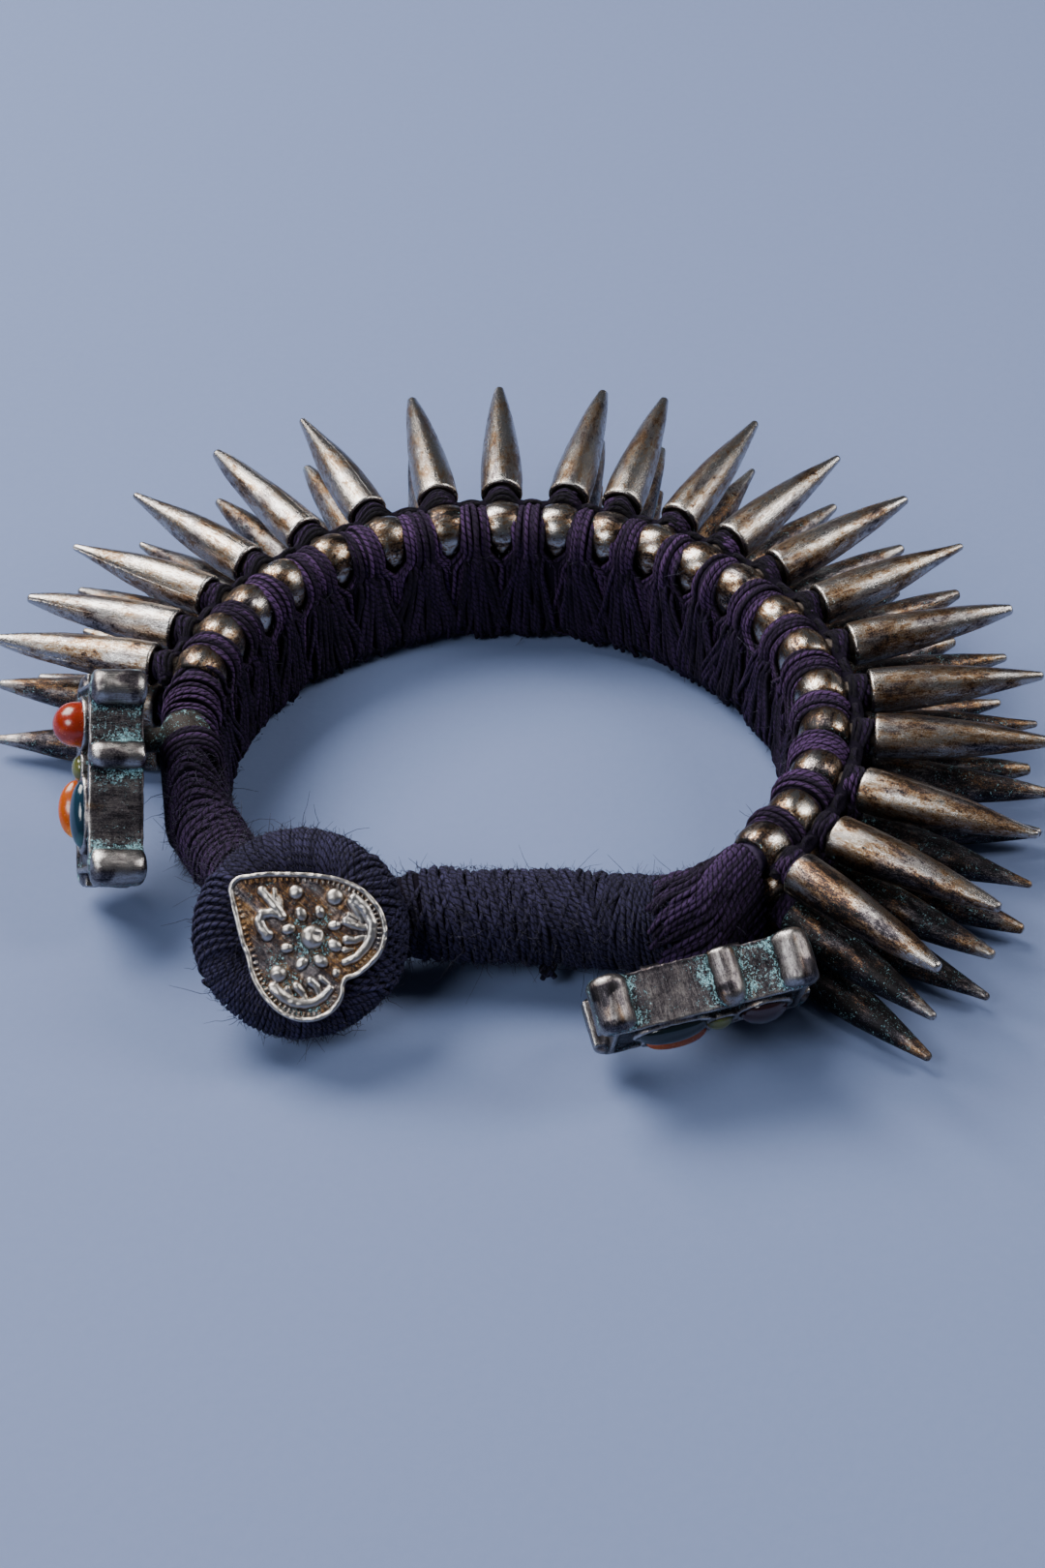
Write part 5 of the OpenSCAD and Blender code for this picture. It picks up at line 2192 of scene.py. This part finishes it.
@dataclass
class Terminal:
    """A cast terminal: a walled box with knobs and ridges, and four stones set in its face."""
    ring: RingLayout
    way: Way
    at: tuple
    turned: tuple
    span: float = 18.0
    depth: float = 8.6
    thick: float = 5.2
    ridge: float = 116 / 186
    seat: float = 0.12
    rubbed: float = 0.10
    voxel: float = 0.145

    def rotation(self) -> Array:
        """The terminal's turn: about X, then Y, then Z."""
        return turn(Z, self.turned[2]) @ turn(Y, self.turned[1]) @ turn(X, self.turned[0])

    def place(self, local: Array) -> Array:
        """From the terminal's own frame to the row frame."""
        return local @ self.rotation().T + np.array(self.at) + np.array(self.ring.centre)

    def local_of(self, world: Array) -> Array:
        """From the row frame back to the terminal's own frame."""
        return (world - np.array(self.at) - np.array(self.ring.centre)) @ self.rotation()

    def worn_copy(self, node: str) -> tuple[Array, Array, Array]:
        """A copy of the solid, welded and remeshed evenly; body softens it as old casting is.

        Args:
            node: the solid's name.

        Returns:
            Points in millimetres, the quads' corner numbers, and the edges' end numbers.
        """
        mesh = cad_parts[node].data.copy()
        copy = link("terminal_blank", mesh)
        weld = copy.modifiers.new("weld", "WELD")
        weld.merge_threshold = 1e-6
        remesh = copy.modifiers.new("even", "REMESH")
        remesh.mode = "VOXEL"
        remesh.voxel_size = self.voxel * MM
        evaluated = copy.evaluated_get(bpy.context.evaluated_depsgraph_get())
        made = evaluated.to_mesh()

        def read(items: bpy.types.bpy_prop_collection, name: str, width: int, kind: type) -> Array:
            """A value of every item as one array.

            Args:
                items: vertices, loops, polygons or edges.
                name: which value.
                width: how many numbers it has.
                kind: their type.

            Returns:
                (items, width).
            """
            values = np.zeros(len(items) * width, kind)
            items.foreach_get(name, values)
            return values.reshape(-1, width)

        co = read(made.vertices, "co", 3, np.float32).astype(float) / MM
        corners = read(made.polygons, "loop_total", 1, np.int32)
        loops = read(made.loops, "vertex_index", 1, np.int32)
        edges = read(made.edges, "vertices", 2, np.int32)
        evaluated.to_mesh_clear()
        bpy.data.objects.remove(copy)
        bpy.data.meshes.remove(mesh)
        if (corners != 4).any():
            raise ValueError("the remeshed terminal has faces that aren't quads")
        return co, loops.reshape(-1, 4), edges

    @staticmethod
    def relax(p: Array, edges: Array, times: int, share: float = 0.5) -> Array:
        """Moves each point towards the mean of its neighbours, several times.

        Args:
            p: the points.
            edges: end numbers of each edge.
            times: how often.
            share: how far, as a share of the way.

        Returns:
            The softened points.
        """
        degree = np.bincount(edges.ravel(), minlength=len(p))[:, None]
        for _ in range(times):
            total = np.zeros_like(p)
            for axis in range(3):
                total[:, axis] = np.bincount(edges[:, 0], p[edges[:, 1], axis], len(p)) \
                    + np.bincount(edges[:, 1], p[edges[:, 0], axis], len(p))
            p = p + share * (total / np.maximum(degree, 1) - p)
        return p

    @staticmethod
    def point_normals(p: Array, quads: Array) -> Array:
        """Mean direction of the faces round each point.

        Args:
            p: the points.
            quads: corner numbers of each face.

        Returns:
            A direction for each point.
        """
        n = np.cross(p[quads[:, 2]] - p[quads[:, 0]], p[quads[:, 3]] - p[quads[:, 1]])
        total = np.zeros_like(p)
        for corner in range(4):
            for axis in range(3):
                total[:, axis] += np.bincount(quads[:, corner], n[:, axis], len(p))
        return unit(total)

    def body(self, node: str) -> Shell:
        """The worn casting, with layers for rubbed edges, soot in the lows, painted shade on its back,
        painted light on the left knobs, and bloom by the knobs.

        Args:
            node: the solid's name.

        Returns:
            The casting.
        """
        world, quads, edges = self.worn_copy(node)
        sharp = self.relax(world, edges, 3)
        soft = self.relax(sharp, edges, 21)
        pillow = self.relax(soft, edges, 30)
        normal = self.point_normals(sharp, quads)
        bend = ((sharp - soft) * normal).sum(-1)
        local = self.local_of(sharp)
        dents = lattice_noise(local * 0.55, 41) * 0.07 + lattice_noise(local * 1.5, 42) * 0.035 \
            + lattice_noise(local * 4.0, 43) * 0.005
        edge = np.clip(bend / self.rubbed, -1, 1.3)
        x, y, z = local[:, 0], local[:, 1], local[:, 2]
        face_y, face_z = self.depth / 2, self.thick / 2
        ridge_x = self.way.value * (self.ridge - 0.5) * self.span
        wall = smoothstep(face_y - 0.9, face_y - 0.3, np.abs(y))
        knobs = np.minimum(np.abs(np.abs(x) - self.span / 2), np.abs(x - ridge_x))
        on_knob = smoothstep(face_y + 0.35, face_y + 0.8, np.abs(y))
        rounding = smoothstep(face_y - 0.2, face_y + 0.7, np.abs(y))[:, None]
        world = sharp + (pillow + 0.12 * normal - sharp) * rounding + normal * dents[:, None]
        beside = smoothstep(4.4, 1.9, knobs) * wall * (1 - on_knob)
        low_edge = smoothstep(0.6, -2.4, z) * wall * (1 - on_knob)
        stones = smoothstep(face_z - 0.3, face_z + 0.1, z) * (1 - wall)
        deg, r = np.radians(self.ring.strap_deg), self.ring.ring_r
        strap = np.array([r * math.cos(deg), r * math.sin(deg), self.ring.row_z(Row.TOP.value)])
        strap = smoothstep(5.2, 3.6, np.linalg.norm(world - strap - np.array(self.ring.centre), axis=1))
        soot = 0.12 - 0.04 * wall * (1 - on_knob) - 0.12 * on_knob - 0.9 * np.clip(edge, 0, 1) \
            + 0.6 * np.clip(-edge, 0, 1) + 0.2 * stones + 0.5 * strap
        # Painted shade: the back, which faces the band, is darker and less rubbed.
        back = smoothstep(0.7 - face_z, 0.1 - face_z, z) * (1 - on_knob)
        soot = soot + 0.24 * back
        stain = smoothstep(0.05, 0.45, lattice_noise(local * [0.5, 0.5, 0.8], 45))
        # The knobs are rubbed bright, the left terminal's more than the right's: painted light where the left
        # knobs catch the light.
        knob_wear_and_light = 0.46 if self.way is Way.LEFT else 0.12
        wear = np.clip(edge, -0.6, 1.1) + (knob_wear_and_light - 0.85 * stain) * on_knob - 0.9 * strap - 0.95 * back
        bloom = (0.44 + 0.3 * lattice_noise(local * 0.5, 44)) * beside + 0.30 * low_edge * beside \
            + 0.15 * np.clip(-edge, 0, 1) + 0.14 * stones - 0.6 * on_knob - 0.5 * np.clip(edge, 0, 1) \
            + 0.42 * strap
        shell = Shell()
        # The place layer's first axis runs down the walls, so that the scratches do.
        shell.add(world, quads, None, place=local[:, [2, 0, 1]], wear=wear, soot=soot, bloom=bloom,
                  seed=0.7 if self.way is Way.LEFT else 0.3)
        return shell

    def stone(self, at: tuple, a: float, b: float, rise: float, high: bool = False) -> Shell:
        """A cabochon: an oval foot, then a dome whose height is rise * sqrt(1 - r^2), or a ball top.

        Args:
            at: place on the face.
            a: half length.
            b: half width.
            rise: height over its seat.
            high: straight-sided with a ball top.

        Returns:
            The stone's shell.
        """
        sides, rings = 48, 18
        fall = np.linspace(np.pi / 2, 0.04, rings)
        if high:
            z = (rise - a) + a * np.cos(fall)
        else:
            z = 0.55 + (rise - 0.05) * np.cos(fall)
        foot = np.array([[0.5, 0.0], [0.94, 0.0], [1.0, 0.08], [1.0, 0.3]])
        share = np.concatenate([foot[:, 0], np.sin(fall)])
        z = np.concatenate([foot[:, 1], z])
        ss, aa = np.meshgrid(share, circle_angles(sides), indexing="ij")
        base = self.thick / 2 + self.seat
        local = np.stack([at[0] + a * 0.995 * ss * np.cos(aa), at[1] + b * 0.995 * ss * np.sin(aa),
                          base + np.repeat(z[:, None], sides, 1)], -1).reshape(-1, 3)
        local = np.concatenate([local, [[at[0], at[1], base], [at[0], at[1], base + z[-1] + 0.01]]])
        quads, tris = tube_faces(1, len(share), sides)
        world = self.place(local)
        # lift: painted glow, lighter towards the lower rim where light comes out through the stone.
        side = np.concatenate([np.repeat(share, sides), [0, 0]])
        span = max(np.ptp(world[:, 2]), 1e-6)
        under = (world[:, 2].max() - world[:, 2]) / span
        shell = Shell()
        shell.add(world, quads, tris, place=local,
                  lift=np.clip(side, 0, 1) ** 2 * smoothstep(0.45, 1.0, under))
        return shell

    def build(self, fx: Effects, slot: str, cab_name: str, rises: tuple[float, float],
              finishes: dict[str, Material]) -> None:
        """Makes and dresses the casting and its stones.

        Args:
            fx: the shared groups.
            slot: the round cabochon's material slot.
            cab_name: its solid's name without the side.
            rises: its height, and the amber glass's.
            finishes: the stones' finishes by slot.
        """
        side, w = self.way.name.lower(), self.way.value
        node = f"{side}_terminal"
        finish = SilverFinish(f"{side}_terminal_silver", 0.68, -0.12, rough=0.08, spread=0.55, cool=0.20)
        dress(self.body(node).build(f"{node}_cast"), finish.material(fx), "terminal_silver", node)
        sizes = {"teal_glass": ((-3.7 * w, -1.75), 3.4, 1.8, 1.3),
                 "amber_glass": ((-3 * w, 2.25), 3.0, 1.4, rises[1]),
                 "green_glass": ((1.1 * w, -0.2), 1.3, 1.3, 0.9)}
        for name, size in sizes.items():
            stone = self.stone(*size)
            dress(stone.build(f"{side}_{name}_stone"), finishes[name], name, f"{side}_{name}")
        cab = self.stone((5.5 * w, -0.4), 2.3, 2.3, rises[0], self.way is Way.LEFT)
        dress(cab.build(f"{side}_{cab_name}_stone"), finishes[slot], slot, f"{side}_{cab_name}")


# Core cords.

def dress_cords() -> None:
    """Gives the three cords, which keep their solids, a twisted cotton finish from their own place."""
    material, g = new_material("core_cord_cotton")
    coordinates = g.node("ShaderNodeTexCoord")
    grain = g.noise(g.stretch(coordinates.outputs["Object"], (1500, 1500, 900)), 1.0, 4, 0.6)
    colour = g.blend(grain, (0.012, 0.009, 0.02), (0.07, 0.05, 0.10))
    g.surface(Base_Color=colour, Roughness=0.92, Specular_IOR_Level=0.15,
              Normal=g.bump(grain, 0.0002, 0.8))
    for name in (f"core_cord_{row.name.lower()}" for row in Row):
        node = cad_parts[name]
        node.data.materials.clear()
        node.data.materials.append(material)
        log.info("%s: its own solid, cotton finish", name)


# Studio.

@dataclass(frozen=True)
class Studio:
    """A pale floor, three soft lights, a dim room and the camera at the photograph's angle.

    A light is (name, place in metres, width and height, power, colour).
    """
    elevation: float = 40.5
    distance: float = 340.0
    target: tuple = (1.28, -3.61, 1.9)
    lens: float = 73.29
    lights: tuple = (("key", (-0.34, 0.26, 0.52), (0.42, 0.42), 10.2, (1.0, 0.98, 0.95)),
                     ("window", (0.46, 0.04, 0.42), (0.20, 0.34), 2.6, (1.0, 0.99, 0.97)),
                     ("fill", (-0.40, -0.42, 0.50), (0.30, 0.24), 3.2, (0.92, 0.96, 1.0)))

    def camera(self) -> None:
        """Sets the camera: straight on in plan, looking down by the elevation."""
        data = bpy.data.cameras.new("camera")
        data.sensor_width, data.lens = 36.0, self.lens
        data.clip_start, data.clip_end = 0.01, 20
        cam = link("camera", data)
        e = math.radians(self.elevation)
        target = Vector(self.target) * MM
        back = Vector((0, -math.cos(e), math.sin(e)))
        cam.location = target + back * self.distance * MM
        cam.rotation_euler = (-back).to_track_quat("-Z", "Y").to_euler()
        bpy.context.scene.camera = cam

    def floor(self) -> None:
        """A wide level sheet with a slight paper grain, colour changing a little over it."""
        n, half = 40, 1600
        line = np.linspace(-half, half, n)
        xx, yy = np.meshgrid(line, line, indexing="ij")
        pts = xyz(xx, yy, 0).reshape(-1, 3)
        k, j = np.meshgrid(np.arange(n - 1), np.arange(n - 1), indexing="ij")
        first = (k * n + j).reshape(-1, 1)
        quads = first + np.array([0, n, n + 1, 1])
        shell = Shell()
        shell.add(pts, quads, None, place=pts)
        floor = shell.build("floor")
        material, g = new_material("floor_paper")
        grain = g.noise(g.layer("place"), 0.9, 3, 0.6)
        colour = g.blend(grain, (0.122, 0.161, 0.292), (0.134, 0.174, 0.307))
        g.surface(Base_Color=colour, Roughness=0.75, Specular_IOR_Level=0.25,
                  Normal=g.bump(grain, 0.0001, 0.3))
        floor.data.materials.append(material)

    def light(self, name: str, place: tuple, size: tuple, watts: float, colour: tuple) -> None:
        """A soft rectangular light that faces the bangle.

        Args:
            name: its name.
            place: where it hangs, in metres.
            size: its width and height.
            watts: its power.
            colour: its colour.
        """
        data = bpy.data.lights.new(name, "AREA")
        data.shape, data.size, data.size_y = "RECTANGLE", *size
        data.energy, data.color = watts, colour
        lamp = link(name, data)
        lamp.location = place
        lamp.rotation_euler = (-Vector(place)).to_track_quat("-Z", "Y").to_euler()

    def build(self) -> None:
        """Sets up the whole studio."""
        self.camera()
        self.floor()
        world = bpy.data.worlds.new("room")
        world.use_nodes = True
        colour, strength = world.node_tree.nodes["Background"].inputs[:2]
        colour.default_value, strength.default_value = (0.62, 0.68, 0.80, 1), 0.13
        bpy.context.scene.world = world
        for light in self.lights:
            self.light(*light)


def main() -> None:
    """Builds the bangle's pieces in order and sets the studio."""
    logging.basicConfig(level=logging.INFO, format="%(name)s %(message)s", stream=sys.stdout)
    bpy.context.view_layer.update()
    Studio().build()
    fx = Effects()
    ring = RingLayout()
    # shaded_aubergine_thread is a darker copy of aubergine_thread: painted shade on the curtain and the
    # lacing.
    threads = [ThreadFinish(name, shade, light).material(fx) for name, shade, light in (
        ("aubergine_thread", (0.006, 0.003, 0.012), (0.130, 0.058, 0.190)),
        ("shaded_aubergine_thread", (0.004, 0.002, 0.009), (0.046, 0.020, 0.080)),
        ("indigo_thread", (0.004, 0.003, 0.012), (0.066, 0.057, 0.148)),
        ("faded_indigo_thread", (0.004, 0.003, 0.012), (0.088, 0.078, 0.190)),
        ("plum_thread", (0.006, 0.003, 0.012), (0.100, 0.050, 0.158)),
        ("loose_fibre", (0.05, 0.045, 0.08), (0.26, 0.245, 0.36)))]
    aubergine, shaded, indigo, faded, plum, fibre = threads
    # Near-black finish of the cores and the backing: painted shade under the strands.
    dark = CoreFinish("thread_core", (0.006, 0.0035, 0.011)).material()
    amber = GlassFinish("amber_glass", (0.46, 0.085, 0.003), (1.0, 0.38, 0.012), 0.3, 0.19, 0.45)
    green = GlassFinish("green_glass", (0.10, 0.11, 0.03), (0.26, 0.27, 0.10), 0.1, milky=0.3)
    navy = GlassFinish("navy_teal_glass", (0.006, 0.022, 0.040), (0.020, 0.085, 0.10), 0.1)
    black = GlassFinish("black_teal_glass", (0.0015, 0.006, 0.009), (0.006, 0.030, 0.034), 0.1)
    orange = GlassFinish("orange_stone", (0.30, 0.022, 0.004), (1.0, 0.24, 0.01), 0.35, 0.20, 0.45)
    garnet = GlassFinish("garnet_stone", (0.020, 0.005, 0.008), (0.10, 0.022, 0.03), 0.15)
    both = {"amber_glass": amber.material(), "green_glass": green.material()}
    for row in Row:
        SpikeRow(ring, row).build(fx)
    ColumnBinding(ring).build(aubergine, shaded, dark)
    bar = ClosingBar(ring).build(indigo, plum, dark)
    loop = ButtonLoop(ring)
    arm = loop.build(faded, plum, dark)
    LooseFibres(ring).build(((bar, 3600), (arm, 1500)), loop, fibre)
    HeartButton(loop).build(fx)
    Terminal(ring, Way.LEFT, (-40, -9.1, 12.7), (-74, -46.5, 90)).build(
        fx, "orange_stone", "orange_cabochon", (3.4, 1.9),
        {**both, "teal_glass": navy.material(), "orange_stone": orange.material()})
    Terminal(ring, Way.RIGHT, (18.6, -36.1, 9), (-122, 6, -166)).build(
        fx, "garnet_stone", "garnet_cabochon", (1.35, 1.1),
        {**both, "teal_glass": black.material(), "garnet_stone": garnet.material()})
    dress_cords()


if __name__ == "__main__":
    main()
